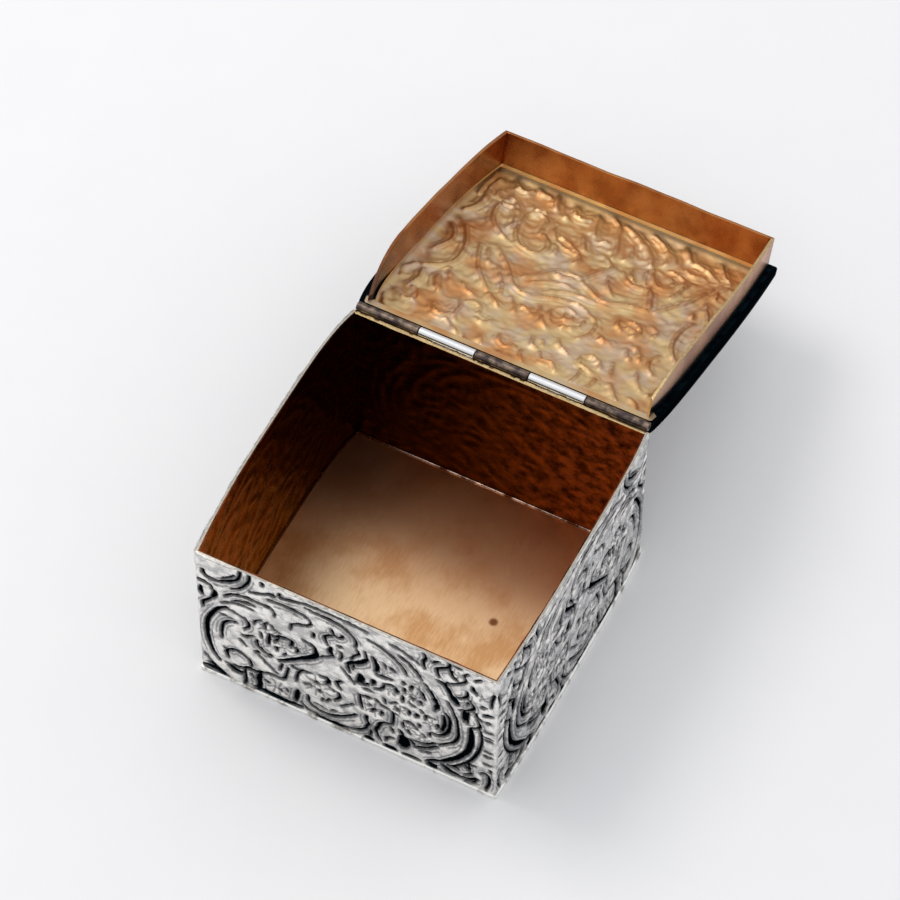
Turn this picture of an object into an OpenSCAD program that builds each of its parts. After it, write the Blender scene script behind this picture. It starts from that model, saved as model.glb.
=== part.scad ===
// Square silver stamp box with a hinged lid, drawn with the lid laid back on its stop.
// The frame: +Z is up, the origin is the middle of the underside, the front looks
// along -Y and the hinge runs along X behind the back wall.

/* [Body] */
// Width of the box across the front, outside the sheet
body_w = 38; // [30:0.5:60]
// Depth of the box from front to back, outside the sheet
body_d = 38; // [30:0.5:60]
// Height from the table to the top edge of the walls
body_h = 24.4; // [16:0.2:40]
// Thickness of the silver sheet that the walls and the lid are stamped from
sheet = 0.45; // [0.3:0.05:0.8]
// How far the left side bulges outwards in its middle
left_bow = 1.05; // [0:0.05:1.5]
// How far the right side bulges outwards in its middle
right_bow = 0.5; // [0:0.05:1.5]
// How full the bulges are towards the front (2 is an even arc)
front_fullness = 2.4; // [1.5:0.1:6]
// How full the bulges are towards the hinge
back_fullness = 5; // [1.5:0.1:6]

/* [Base] */
// Thickness of the base plate under the walls
base_t = 0.55; // [0.4:0.05:1.2]
// How far the base plate stands out past the walls
base_lip = 0.3; // [0.1:0.05:0.8]

/* [Lid] */
// Height of the upright edge of the lid
lid_edge_h = 1; // [0.8:0.05:2]
// Rise of the pillowed top above that edge
lid_crown_h = 1; // [0.6:0.05:3]
// Width over which the pillowed top rounds off
lid_crown_w = 1.6; // [1:0.1:4]
// Corner radius of the lid at its edge
lid_corner_r = 0.35; // [0.2:0.05:1]
// Corner radius where the pillowed top has rounded off
lid_crown_r = 2.4; // [1.5:0.1:5]
// Gap between the closed lid and the top edge of the walls
lid_gap = 0.12; // [0.1:0.01:0.3]
// Opening angle at which the hinge bearers stop the lid
open_angle = 199; // [186:1:214]

/* [Lid bezel] */
// Depth that the bezel reaches down into the box
bezel_h = 4.6; // [3:0.1:8]
// Thickness of the bezel sheet
bezel_t = 0.4; // [0.3:0.05:0.6]
// Gap between the closed bezel and the inside of the walls
bezel_gap = 0.52; // [0.5:0.02:0.8]
// Length over which the bezel tapers off at the hinge
bezel_taper_l = 5.5; // [3:0.5:9]
// How much lower the bezel ends at the hinge
bezel_taper_h = 2.2; // [1:0.1:2.8]

/* [Hinge] */
// Outer radius of the hinge tube
knuckle_r = 0.55; // [0.5:0.05:0.9]
// Radius of the hinge pin
pin_r = 0.25; // [0.2:0.01:0.3]
// Running gap between the pin and the tube
pin_gap = 0.03; // [0.02:0.01:0.06]
// How far each end of the hinge stops short of the side of the box
hinge_inset = 0.2; // [0:0.05:1]
// Length of the middle tube, which belongs to the box
centre_knuckle_l = 6.8; // [4:0.1:12]
// Length of each of the two bright tubes that belong to the lid
lid_knuckle_l = 7.2; // [4:0.1:8]
// Gap between the ends of neighbouring tubes
knuckle_gap = 0.1; // [0.05:0.01:0.3]
// Height of the hinge line above the top edge of the walls
hinge_rise = 0.13; // [0:0.01:0.3]
// Height of the bearer strip below the hinge line
body_bearer_h = 1.3; // [1.1:0.05:2]
// Gap between a tube and a bearer of the other half
run_gap = 0.08; // [0.06:0.01:0.15]

/* [Hidden] */

silver = "silver";
dark_silver = "slategray";
gilt = "burlywood";
copper_gilt = "peru";

bow_steps = 12;           // straight pieces in a bowed side
corner_steps = 4;         // straight pieces in a rounded corner
crown_step = 18;          // degrees between the slices of the pillowed edge
slice = 0.01;             // thickness of one slice
film = 0.01;              // solder film between a tube and its own bearer
bearer_seat = 0.02;       // least silver between a groove and what the bearer lies on
bearer_top = 0.35;        // distance of a bearer's near edge from the hinge line
stop_gap = 1;             // degrees left between the bearers with the lid laid back
past = 1;                 // how far a cutter runs past what it cuts

hinge_l = body_w - 2 * hinge_inset;
hinge_out = knuckle_r + run_gap + bearer_seat;
hinge_y = body_d / 2 + hinge_out;
hinge_z = body_h + hinge_rise;
lid_z = body_h + lid_gap;
rim_in = sheet + bezel_gap;
rim_w = rim_in + bezel_t - sheet;
lid_bearer_h = lid_gap + lid_edge_h - hinge_rise;
stop_lean = (open_angle + stop_gap - 180) / 2;

outer_knuckle_l = (hinge_l - centre_knuckle_l - 2 * lid_knuckle_l - 4 * knuckle_gap) / 2;
knuckle_ls = [outer_knuckle_l, lid_knuckle_l, centre_knuckle_l, lid_knuckle_l, outer_knuckle_l];

// Left end of a tube, counted from the left
function knuckle_x(i) =
    i == 0 ? -hinge_l / 2 : knuckle_x(i - 1) + knuckle_ls[i - 1] + knuckle_gap;

// The tubes alternate between the two halves, starting with the box
function is_body(i) = i % 2 == 0;

// The four sides of the plan, as points from one corner to the next
function half_w(inset) = body_w / 2 - inset;
function half_d(inset) = body_d / 2 - inset;
function bulge(t) = 1 - pow(abs(t), t < 0 ? front_fullness : back_fullness);
function side(x, bow, y_end) =
    [for (i = [0 : bow_steps])
        let (t = 2 * i / bow_steps - 1)
        [sign(x) * (abs(x) + bow * bulge(t)), t * y_end]];
function left_side(inset) = side(-half_w(inset), left_bow, half_d(inset));
function right_side(inset) = side(half_w(inset), right_bow, half_d(inset));
function front_side(inset) = [[-half_w(inset), -half_d(inset)], [half_w(inset), -half_d(inset)]];
function back_side(inset) = [[-half_w(inset), half_d(inset)], [half_w(inset), half_d(inset)]];
function backwards(points) = [for (i = [len(points) - 1 : -1 : 0]) points[i]];

// The whole plan with its corners rounded off
function corner(x, y, r, from) =
    [for (i = [0 : corner_steps])
        let (a = from + 90 * i / corner_steps)
        [x + r * cos(a), y + r * sin(a)]];
function plan(inset, r) =
    let (x = half_w(inset) - r, y = half_d(inset) - r)
    concat(corner(-x, -y, r, 180),
           corner(x, -y, r, 270),
           side(half_w(inset), right_bow, y),
           corner(x, y, r, 0),
           corner(-x, y, r, 90),
           backwards(side(-half_w(inset), left_bow, y)));

// A sheet that stands between an outer and an inner side, mitred at its ends
module mitred_sheet(outer, inner, h) {
    linear_extrude(h) polygon(concat(outer, backwards(inner)));
}

// Turns what is drawn closed about the hinge line, back to the stop
module laid_back() {
    translate([0, hinge_y, hinge_z])
        rotate([-open_angle, 0, 0])
            translate([0, -hinge_y, -hinge_z])
                children();
}

// A solid with upright sides below and rounded shoulders above
module pillow(inset, z, edge_h, crown_h, crown_w) {
    hull() {
        translate([0, 0, z])
            linear_extrude(slice) polygon(plan(inset, lid_corner_r));
        for (a = [0 : crown_step : 90]) {
            r = lid_corner_r + (lid_crown_r - lid_corner_r) * (1 - cos(a));
            translate([0, 0, z + edge_h + crown_h * sin(a) - slice])
                linear_extrude(slice) polygon(plan(inset + crown_w * (1 - cos(a)), r));
        }
    }
}

// A rod along X from x over a length
module along_x(x, length, r, sides) {
    translate([x, 0, 0])
        rotate([0, 90, 0])
            cylinder(h = length, r = r, $fn = sides);
}

// One hinge tube with its bore
module knuckle(i) {
    translate([0, hinge_y, hinge_z])
        difference() {
            along_x(knuckle_x(i), knuckle_ls[i], knuckle_r, 48);
            along_x(knuckle_x(i) - past, knuckle_ls[i] + 2 * past, pin_r + pin_gap, 32);
        }
}

// A strip that carries the tubes of one half. It lies above (up = 1) or below (up = -1)
// the hinge line. Its own tubes are soldered into it and the others turn clear of it.
module bearer(up, far, carries_body) {
    stop_near = -bearer_top * tan(stop_lean);
    stop_far = -far * tan(stop_lean);
    translate([0, hinge_y, hinge_z])
        difference() {
            translate([-hinge_l / 2, 0, 0])
                rotate([90, 0, 90])
                    linear_extrude(hinge_l)
                        polygon([[-hinge_out, up * bearer_top], [-hinge_out, up * far],
                                 [stop_far, up * far], [stop_near, up * bearer_top]]);
            for (i = [0 : len(knuckle_ls) - 1]) {
                own = is_body(i) == carries_body;
                end_gap = own ? film : knuckle_gap;
                along_x(knuckle_x(i) - end_gap, knuckle_ls[i] + 2 * end_gap,
                        knuckle_r + (own ? film : run_gap), 48);
            }
        }
}

// Side view of a bezel: full depth to the front, tapered off in a curve at the hinge
module bezel_profile() {
    end_y = half_d(rim_in);
    taper = [for (i = [0 : bow_steps])
                let (t = i / bow_steps)
                [end_y - bezel_taper_l * (1 - t), -bezel_h + bezel_taper_h * t * t]];
    polygon(concat([[end_y, 0], [-body_d / 2, 0], [-body_d / 2, -bezel_h]], taper));
}

module side_bezel(outer, inner) {
    translate([0, 0, lid_z])
        intersection() {
            translate([0, 0, -bezel_h]) mitred_sheet(outer, inner, bezel_h);
            translate([-body_w, 0, 0])
                rotate([90, 0, 90])
                    linear_extrude(2 * body_w) bezel_profile();
        }
}

module front_wall() {
    color(silver)
        translate([0, 0, base_t])
            mitred_sheet(front_side(0), front_side(sheet), body_h - base_t);
}

module right_wall() {
    color(silver)
        translate([0, 0, base_t])
            mitred_sheet(right_side(0), right_side(sheet), body_h - base_t);
}

module back_wall() {
    color(silver)
        translate([0, 0, base_t])
            mitred_sheet(back_side(0), back_side(sheet), body_h - base_t);
}

module left_wall() {
    color(silver)
        translate([0, 0, base_t])
            mitred_sheet(left_side(0), left_side(sheet), body_h - base_t);
}

// The floor is the top of this plate
module base_plate() {
    color(gilt)
        linear_extrude(base_t) polygon(plan(-base_lip, base_lip));
}

module body_hinge_bearer() {
    color(dark_silver) bearer(-1, body_bearer_h, true);
}

module body_knuckle_left() {
    color(dark_silver) knuckle(0);
}

module body_knuckle_centre() {
    color(dark_silver) knuckle(2);
}

module body_knuckle_right() {
    color(dark_silver) knuckle(4);
}

module hinge_pin() {
    color(dark_silver)
        translate([0, hinge_y, hinge_z]) along_x(-hinge_l / 2, hinge_l, pin_r, 32);
}

// Stamped shell: an upright edge, rounded shoulders and a hollow of the same thickness
module lid_panel() {
    color(silver)
        laid_back()
            difference() {
                pillow(0, lid_z, lid_edge_h, lid_crown_h, lid_crown_w);
                pillow(sheet, lid_z - past, lid_edge_h + past - sheet, lid_crown_h, lid_crown_w);
            }
}

// Flat frame soldered inside the edge of the shell, which carries the bezel
module lid_rim() {
    color(dark_silver)
        laid_back()
            translate([0, 0, lid_z])
                linear_extrude(sheet)
                    difference() {
                        polygon(plan(sheet, lid_corner_r));
                        polygon(plan(sheet + rim_w, lid_corner_r));
                    }
}

module lid_bezel_front() {
    color(copper_gilt)
        laid_back()
            translate([0, 0, lid_z - bezel_h])
                mitred_sheet(front_side(rim_in), front_side(rim_in + bezel_t), bezel_h);
}

module lid_bezel_left() {
    color(copper_gilt)
        laid_back() side_bezel(left_side(rim_in), left_side(rim_in + bezel_t));
}

module lid_bezel_right() {
    color(copper_gilt)
        laid_back() side_bezel(right_side(rim_in), right_side(rim_in + bezel_t));
}

module lid_hinge_bearer() {
    color(dark_silver) laid_back() bearer(1, lid_bearer_h, false);
}

module lid_knuckle_left() {
    color(silver) laid_back() knuckle(1);
}

module lid_knuckle_right() {
    color(silver) laid_back() knuckle(3);
}

front_wall();
right_wall();
back_wall();
left_wall();
base_plate();
body_hinge_bearer();
body_knuckle_left();
body_knuckle_centre();
body_knuckle_right();
hinge_pin();
lid_panel();
lid_rim();
lid_bezel_front();
lid_bezel_left();
lid_bezel_right();
lid_hinge_bearer();
lid_knuckle_left();
lid_knuckle_right();
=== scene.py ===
import math

import bpy
import numpy as np
from mathutils import Matrix, Vector


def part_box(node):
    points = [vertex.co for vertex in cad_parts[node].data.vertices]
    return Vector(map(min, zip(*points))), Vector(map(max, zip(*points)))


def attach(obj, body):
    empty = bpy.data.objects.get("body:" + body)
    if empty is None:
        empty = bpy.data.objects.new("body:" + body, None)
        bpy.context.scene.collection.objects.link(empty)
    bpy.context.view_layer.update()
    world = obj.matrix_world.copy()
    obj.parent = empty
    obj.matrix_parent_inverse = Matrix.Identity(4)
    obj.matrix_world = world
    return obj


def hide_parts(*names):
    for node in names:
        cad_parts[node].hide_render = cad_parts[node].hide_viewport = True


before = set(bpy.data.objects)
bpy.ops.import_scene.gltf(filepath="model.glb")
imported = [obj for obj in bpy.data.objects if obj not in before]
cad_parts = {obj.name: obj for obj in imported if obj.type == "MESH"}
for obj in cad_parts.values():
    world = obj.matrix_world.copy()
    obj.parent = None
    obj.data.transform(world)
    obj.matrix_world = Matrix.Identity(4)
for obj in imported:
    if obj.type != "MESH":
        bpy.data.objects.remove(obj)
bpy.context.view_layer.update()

# Camera, floor and light.
# The camera looks down over the front right corner through a long lens. The floor is a sheet of
# white paper, under a pale sky and one broad soft lamp high on the left, a little behind the box.
MM = 0.001


def srgb(hex_colour):
    """A hex colour as linear red, green, blue and alpha."""
    parts = [int(hex_colour[i:i + 2], 16) / 255 for i in (1, 3, 5)]
    return [c / 12.92 if c <= 0.04045 else ((c + 0.055) / 1.055) ** 2.4 for c in parts] + [1]


def feed(node, inputs):
    """Gives a node's inputs a value, a hex colour, a socket or a node's first output in use."""
    for key, value in inputs.items():
        if isinstance(value, bpy.types.Node):
            value = next(output for output in value.outputs if output.enabled)
        if isinstance(value, bpy.types.NodeSocket):
            node.id_data.links.new(value, node.inputs[key])
        else:
            node.inputs[key].default_value = srgb(value) if isinstance(value, str) else value


def add_node(tree, kind, inputs=None, **settings):
    """Adds a node with its own settings and feeds its inputs."""
    made = tree.nodes.new(kind)
    for name, value in settings.items():
        setattr(made, name, value)
    feed(made, inputs or {})
    return made


def new_material(name):
    """A new material, its node tree, its shader and the Object coordinates of its patterns."""
    made = bpy.data.materials.new(name)
    made.use_nodes = True
    tree = made.node_tree
    place = add_node(tree, "ShaderNodeTexCoord").outputs["Object"]
    return made, tree, tree.nodes["Principled BSDF"], place


camera_azimuth = math.radians(26.67)
camera_elevation = math.radians(55.14)
camera_roll = math.radians(0.59)
camera_distance = 517.8
camera_aim = Vector((-2.9, 12.3, 15.0))

camera_back = Vector((
    math.sin(camera_azimuth) * math.cos(camera_elevation),
    -math.cos(camera_azimuth) * math.cos(camera_elevation),
    math.sin(camera_elevation),
))
camera_data = bpy.data.cameras.new("camera")
camera_data.lens = 178.3
camera_data.clip_start = 0.01
camera_data.clip_end = 20
camera = bpy.data.objects.new("camera", camera_data)
bpy.context.scene.collection.objects.link(camera)
turn = camera_back.to_track_quat("Z", "Y").to_matrix() @ Matrix.Rotation(camera_roll, 3, "Z")
camera.matrix_world = Matrix.Translation(
    (camera_aim + camera_back * camera_distance) * MM) @ turn.to_4x4()
bpy.context.scene.camera = camera
bpy.context.scene.view_settings.view_transform = "Standard"

# White paper: matt, with the faintest mottle of its fibres
paper, tree, shader, place = new_material("white_paper")
mottle = add_node(tree, "ShaderNodeTexNoise",
                  {"Vector": place, "Scale": 1 / (9 * MM), "Detail": 3})
shade = add_node(tree, "ShaderNodeMix", {0: mottle, 6: "#F1F1F3", 7: "#F4F4F5"},
                 data_type="RGBA")
feed(shader, {"Base Color": shade, "Roughness": 0.9, "Specular IOR Level": 0.1})

floor_reach = 3000
floor_mesh = bpy.data.meshes.new("floor")
floor_mesh.from_pydata(
    [(x * floor_reach * MM, y * floor_reach * MM, 0)
     for x, y in ((-1, -1), (1, -1), (1, 1), (-1, 1))], [], [(0, 1, 2, 3)])
floor = bpy.data.objects.new("floor", floor_mesh)
floor_mesh.materials.append(paper)
bpy.context.scene.collection.objects.link(floor)

# The sky is dimmer towards the horizon, and dark low down except behind the box, like a room
# round a white table with one white wall
sky = bpy.data.worlds.new("sky")
sky.use_nodes = True
tree = sky.node_tree
place = add_node(tree, "ShaderNodeTexCoord")
way = add_node(tree, "ShaderNodeSeparateXYZ", {0: place.outputs["Generated"]})
rise = add_node(tree, "ShaderNodeMapRange",
                {"Value": way.outputs["Z"], "To Min": 0.52, "To Max": 1.04})
low = add_node(tree, "ShaderNodeMapRange",
               {"Value": way.outputs["Z"], "From Max": 0.35, "To Min": 0.25},
               interpolation_type="SMOOTHSTEP")
white_wall = add_node(tree, "ShaderNodeMapRange",
                      {"Value": way.outputs["Y"], "From Min": 0.5, "From Max": 0.8},
                      interpolation_type="SMOOTHSTEP")
lit = add_node(tree, "ShaderNodeMath", {0: low, 1: white_wall}, operation="MAXIMUM")
strength = add_node(tree, "ShaderNodeMath", {0: rise, 1: lit}, operation="MULTIPLY")
feed(tree.nodes["Background"], {"Color": "#FCFDFF", "Strength": strength})
bpy.context.scene.world = sky

lamp_data = bpy.data.lights.new("soft_lamp", "AREA")
lamp_data.shape = "DISK"
lamp_data.size = 0.26
lamp_data.energy = 0.88
lamp_data.color = srgb("#FFFAF4")[:3]
lamp = bpy.data.objects.new("soft_lamp", lamp_data)
lamp_from = Vector((-0.66, 0.08, 1.0)).normalized()
lamp_distance = 600
lamp.location = lamp_from * (lamp_distance * MM)
lamp.rotation_mode = "QUATERNION"
lamp.rotation_quaternion = lamp_from.to_track_quat("Z", "Y")
bpy.context.scene.collection.objects.link(lamp)

# The four walls.
# Each is one piece of 0.45 mm sterling sheet, struck in a steel die, mitred and soldered at its
# corners. Neighbouring walls mirror each other. The relief shows in reverse on the gilt inside.
outer_lo, outer_hi = [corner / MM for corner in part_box("front_wall")]
half = outer_hi.x
wall_z = outer_lo.z
rim_z = outer_hi.z
sheet = outer_hi.y - outer_lo.y
left_bow = -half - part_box("left_wall")[0].x / MM
right_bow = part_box("right_wall")[1].x / MM - half
front_fullness = 2.4
back_fullness = 5

# Lines of the wall die, from the left bottom corner: a width, then the points of a soft curve
corner_shell = [
    (0.62, (0.8, 21.3), (0.9, 20.7), (1.4, 20.3), (2.4, 20.2)),
    (0.5, (1.5, 20.3), (2.6, 20.2), (3.6, 20.7), (4.6, 21.4), (5.4, 22.4), (5.75, 24.4)),
    (0.42, (4.4, 19.8), (5.4, 20.4), (6.1, 21.4), (6.7, 22.7), (6.9, 24.4)),
    (0.22, (3.3, 21.1), (4.3, 21.9), (5, 22.8)),
    (0.4, (8.5, 23.9), (8.5, 23.2)),
    (0.35, (0, 19.1), (0.9, 19), (1.7, 18.7), (1.9, 17.9)),
    (0.55, (0.4, 17.6), (0.35, 16.8), (0.6, 16)),
    (0.75, (2.2, 17.9), (2.2, 17), (1.8, 16.1)),
    (0.45, (1.7, 15.9), (1.1, 15.1), (0.6, 14.5), (0.5, 13.6)),
]
left_scroll = [
    (0.72, (3.8, 15.5), (2.6, 14.4), (1.7, 12.8), (1, 10.9), (0.85, 8.9), (1, 6.8), (1.5, 4.9),
     (2.3, 3.4)),
    (0.25, (3.8, 15.4), (4.9, 15.2), (5.8, 14.8)),
    (0.42, (6, 14.8), (6.4, 14.1), (6.4, 13.2), (5.9, 12.6)),
    (0.42, (4.7, 13.1), (3.8, 12.6), (3.1, 11.6), (2.85, 10.2), (2.8, 8.6)),
    (0.45, (4.9, 13.2), (4.5, 12.9)),
    (0.2, (2.8, 13.6), (3.6, 13.7), (4.4, 13.6)),
    (0.5, (3.1, 6.6), (3.7, 6.5), (4.4, 7), (5.1, 7.05), (5.9, 6.6), (6.4, 5.9), (6.5, 4.9)),
    (0.5, (3.6, 6.6), (3.3, 5.7), (3.5, 4.8)),
    (0.8, (5.4, 3.7), (6.2, 4.3), (7.2, 4.2), (8, 4.7)),
    (1, (3.6, 3), (4.4, 2.6), (5.3, 2.7)),
    (0.4, (3.2, 3.5), (4.6, 3.5), (5.4, 4)),
    (0.35, (0.4, 3.6), (0.9, 2.7), (1.6, 1.9), (2.5, 1.2), (3.4, 0.7)),
    (0.35, (7.9, 4.6), (8.8, 5.1), (9.8, 5.3), (10.7, 5.3), (11.1, 6.4), (11.4, 8.2)),
]
top_sweeps = [
    (0.42, (3.5, 17.6), (4.3, 18.5), (5.3, 19.1), (6.6, 19.4), (8, 19.4), (9.2, 19.4)),
    (0.55, (8.6, 19.3), (9.3, 19.4)),
    (0.28, (4.5, 17.3), (5.4, 17.9), (6.6, 18.3), (7.4, 18.3)),
    (0.2, (3, 16), (4.4, 16.9), (6, 17.4), (7.2, 17.4)),
    (0.25, (9.6, 19.2), (9.9, 18.7), (9.9, 18)),
    (0.3, (6.8, 20.9), (8, 21.4), (9, 21.9), (9.8, 22.2)),
    (0.55, (9.4, 22.2), (10, 22.1)),
    (0.42, (10.7, 23.2), (10.7, 22.4), (11.8, 22.7), (13.3, 23.2)),
    (0.42, (9.2, 20.9), (10.6, 21.1), (12, 21.2), (13.4, 21), (14.3, 20.5)),
    (0.6, (11.8, 21.1), (13.4, 21)),
    (0.32, (14.3, 20.5), (14.6, 19.8), (14.2, 19.1), (13, 18.5), (12.1, 17.8), (11.9, 16.8)),
    (0.4, (14, 22.7), (15.6, 22.4), (17.2, 22.4), (18.6, 22), (19.8, 21.1), (20.3, 20),
     (20.2, 18.9)),
    (0.55, (16.2, 22.5), (18.3, 22.2)),
    (0.3, (13.5, 23.3), (15, 23.5), (17, 23.5), (19, 23.5), (21.8, 23.2)),
    (0.45, (19.1, 23.5), (20.2, 23.5)),
    (0.4, (21.8, 21.8), (23, 21.5), (24.3, 20.8), (25.4, 19.9), (26.2, 19), (26.7, 17.9)),
    (0.5, (25.8, 21.2), (26.9, 20.5), (27.8, 19.5), (28.5, 18.3)),
    (0.28, (24.6, 22.9), (26.2, 22.5), (27.4, 21.9), (28.3, 21.3)),
]
curls = [
    (0.42, (17.2, 20.5), (17.3, 19.8), (17.9, 19.4), (18.5, 19.6), (18.6, 20.2)),
    (0.42, (17.6, 19.4), (16.9, 18.9), (16.3, 18.3), (16.4, 17.5), (16.7, 16.9)),
    (0.35, (14.9, 18), (14.8, 17.1)),
    (0.5, (18, 17.5), (18.5, 17.8)),
    (0.3, (18.2, 16.6), (18.4, 15.6), (18.2, 14.8)),
    (0.65, (17.1, 16.6), (16.9, 15.6), (17.3, 14.9)),
    (0.3, (17.3, 14.9), (16.4, 14.2), (15.6, 13.5)),
    (0.35, (20.4, 18.5), (20.6, 17.7), (20, 16.8), (19.6, 16)),
    (0.85, (21.7, 17.3), (20.9, 16.2), (19.9, 15.4), (19.1, 14.6)),
    (0.28, (21.4, 18.9), (21.5, 18.1), (21.6, 17.2)),
    (0.35, (19.2, 14.8), (19.2, 14), (19.4, 13.2)),
    (0.3, (19.9, 14.9), (19.8, 14.2)),
    (0.75, (22.4, 18.4), (22.8, 17.3), (22.9, 16.3), (22.7, 15.6)),
    (0.5, (22.8, 15.2), (23.7, 15.3), (24.8, 15.6)),
    (0.5, (24.6, 17.8), (25.2, 17.5)),
    (0.25, (23.8, 18.3), (24, 17.2)),
    (1.1, (20.8, 13.5), (20.8, 12.7), (20.5, 12)),
    (0.65, (22.5, 13.8), (22.3, 12.7)),
    (0.4, (20.1, 11.7), (21.4, 12), (21.8, 12.5)),
    (0.4, (23.8, 13.7), (24.5, 14.2), (25.3, 14.3)),
    (0.3, (23.8, 13.6), (23.5, 12.6), (22.6, 12.1)),
    (0.4, (21.2, 11.1), (22.3, 11.2)),
    (0.28, (18.4, 13.4), (19.2, 12.2), (20, 11.2)),
]
bouquet = [
    (0.28, (7.1, 14.4), (7.5, 15.3), (8.2, 16)),
    (0.42, (9.4, 15.8), (9.7, 15.2), (10.5, 14.9)),
    (0.28, (9, 16), (8.5, 15.2), (8.6, 14.3)),
    (0.62, (10, 13.6), (10.6, 14.2), (11.4, 14.3), (12, 14.2), (11.8, 12.9)),
    (0.4, (8.9, 13.6), (9.6, 13.7), (10.3, 13.6)),
    (0.45, (9.1, 13.5), (9, 12.4), (8.9, 11.4)),
    (0.35, (10.3, 13.5), (9.8, 12.6)),
    (0.4, (12.2, 13.2), (12.7, 13), (12.6, 12.2)),
    (0.45, (10, 11.7), (10, 10.9)),
    (0.28, (11.2, 11.1), (10.9, 10.4)),
    (0.4, (7.5, 11.3), (7.4, 10.4), (8, 9.6), (9.2, 9.3)),
    (0.55, (8.8, 9.2), (9.3, 9.3)),
    (0.35, (5.6, 11), (6.3, 11.3), (7, 11.8)),
    (0.5, (5.9, 11.1), (6.3, 11.2)),
    (0.5, (7.2, 8.6), (7.6, 8.7)),
    (0.25, (8, 13.3), (8.1, 12.2)),
    (0.25, (5.2, 9.9), (6, 9.1)),
    (0.28, (7.6, 8.2), (8.8, 7), (9.9, 6)),
    (0.25, (10.7, 8.6), (10.3, 7)),
    (0.6, (10.3, 9), (11.4, 9.8), (12.6, 10.9), (14, 12.1)),
    (0.95, (12.9, 11.2), (14.2, 12.3), (15.1, 13.4), (15, 14.4)),
    (0.5, (15, 14.3), (14.9, 15.1), (14.3, 15.5), (13.5, 15.7)),
]
rosette = [
    (0.35, (14.5, 9.4), (13.4, 9), (12.8, 8.2), (12.5, 7.2), (12.4, 6.2)),
    (0.3, (11.9, 9.1), (12.9, 8.8)),
    (0.55, (14.9, 7.8), (15.4, 7.8)),
    (0.35, (14.1, 6.7), (14.4, 6.6)),
    (0.45, (15.3, 6.1), (15.6, 6.3)),
    (0.2, (13.5, 6.5), (13.8, 6.5)),
    (0.6, (15.6, 9.6), (16.5, 9.6), (16.6, 8.8), (16.3, 8.3)),
    (0.35, (16.8, 8), (17.4, 7.6)),
    (0.5, (18.4, 10.4), (17.7, 9.6), (18.2, 8.6)),
    (0.42, (17.9, 7.6), (18, 6.6), (17.4, 5.6)),
    (0.25, (16.8, 5.4), (16.2, 4.5)),
    (0.2, (15.9, 5), (15.7, 4.3)),
    (0.35, (16.9, 3), (17.6, 3.4)),
    (0.2, (18.2, 4.9), (19.2, 6), (19.8, 6.6)),
    (0.2, (15, 3.2), (16.2, 2.9)),
]
under_scroll = [
    (0.5, (20.2, 4.7), (19.5, 3.8), (18.4, 2.9), (17.2, 2.1), (16, 1.9), (14.8, 2.2), (14, 2.9),
     (13.9, 4.1)),
    (0.5, (15.4, 2), (14.4, 2.4), (13.9, 3.1)),
    (0.28, (13, 2), (13.7, 1.2), (15, 0.9)),
    (0.42, (21.5, 2.6), (20.9, 1.9), (20.2, 1.4), (19.3, 1.1)),
    (0.75, (12.6, 4.2), (12.4, 3.1), (12.2, 1.7)),
    (0.9, (7.7, 4.1), (7.4, 3), (7.5, 1.8), (7.3, 0.6)),
    (0.5, (8.3, 3.2), (8.8, 3.2)),
    (0.4, (10.1, 2.7), (10.4, 2.6)),
    (0.25, (11.1, 3.5), (11.2, 2.9)),
    (0.35, (5.7, 4), (5.6, 2.8), (5.7, 1.4), (5.5, 0.5)),
    (0.3, (6.4, 3.3), (6.8, 2.6)),
    (0.9, (7, 0.9), (8.6, 0.9), (10.5, 0.8), (13, 1)),
    (0.9, (0.2, 1), (1.6, 1), (3, 0.7)),
    (0.5, (0.9, 1.9), (1.9, 1.4)),
    (0.6, (15, 0.7), (16.8, 0.6), (18.9, 0.8)),
    (0.9, (21.4, 0.7), (22.2, 0.7)),
    (0.9, (23.8, 0.8), (25.2, 0.7)),
    (0.45, (26.2, 0.7), (28.4, 0.9)),
]
centre_flowers = [
    (0.5, (20.8, 9.3), (21.6, 9.5), (22.1, 9.7)),
    (0.4, (20.6, 9.3), (20.7, 8), (20.9, 6.6)),
    (0.5, (22.7, 9.8), (23.1, 9.4)),
    (0.35, (23.3, 9.1), (24, 9.1), (24.5, 8.7)),
    (0.4, (21.8, 7.9), (22.1, 8)),
    (0.45, (22.7, 7.6), (22.1, 6.8)),
    (0.4, (23.5, 7.7), (23.3, 6.9)),
    (0.4, (24.8, 8.7), (24.9, 7.4), (24.8, 6.1)),
    (0.5, (24.8, 5.9), (23.7, 5.4), (23.2, 4.8), (22.9, 3.8), (22.6, 3), (22.9, 2), (23.3, 1.4)),
    (0.5, (21.5, 5.5), (21.4, 4.5), (21.7, 3.6), (21.3, 2.6)),
    (0.35, (22, 2.4), (21.9, 1.4)),
    (0.35, (23.9, 1.9), (24.2, 2.6), (25, 3.1)),
    (0.3, (24.6, 5.2), (24.9, 4.3)),
    (0.28, (23.8, 10.9), (23.9, 9.9)),
]
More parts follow.
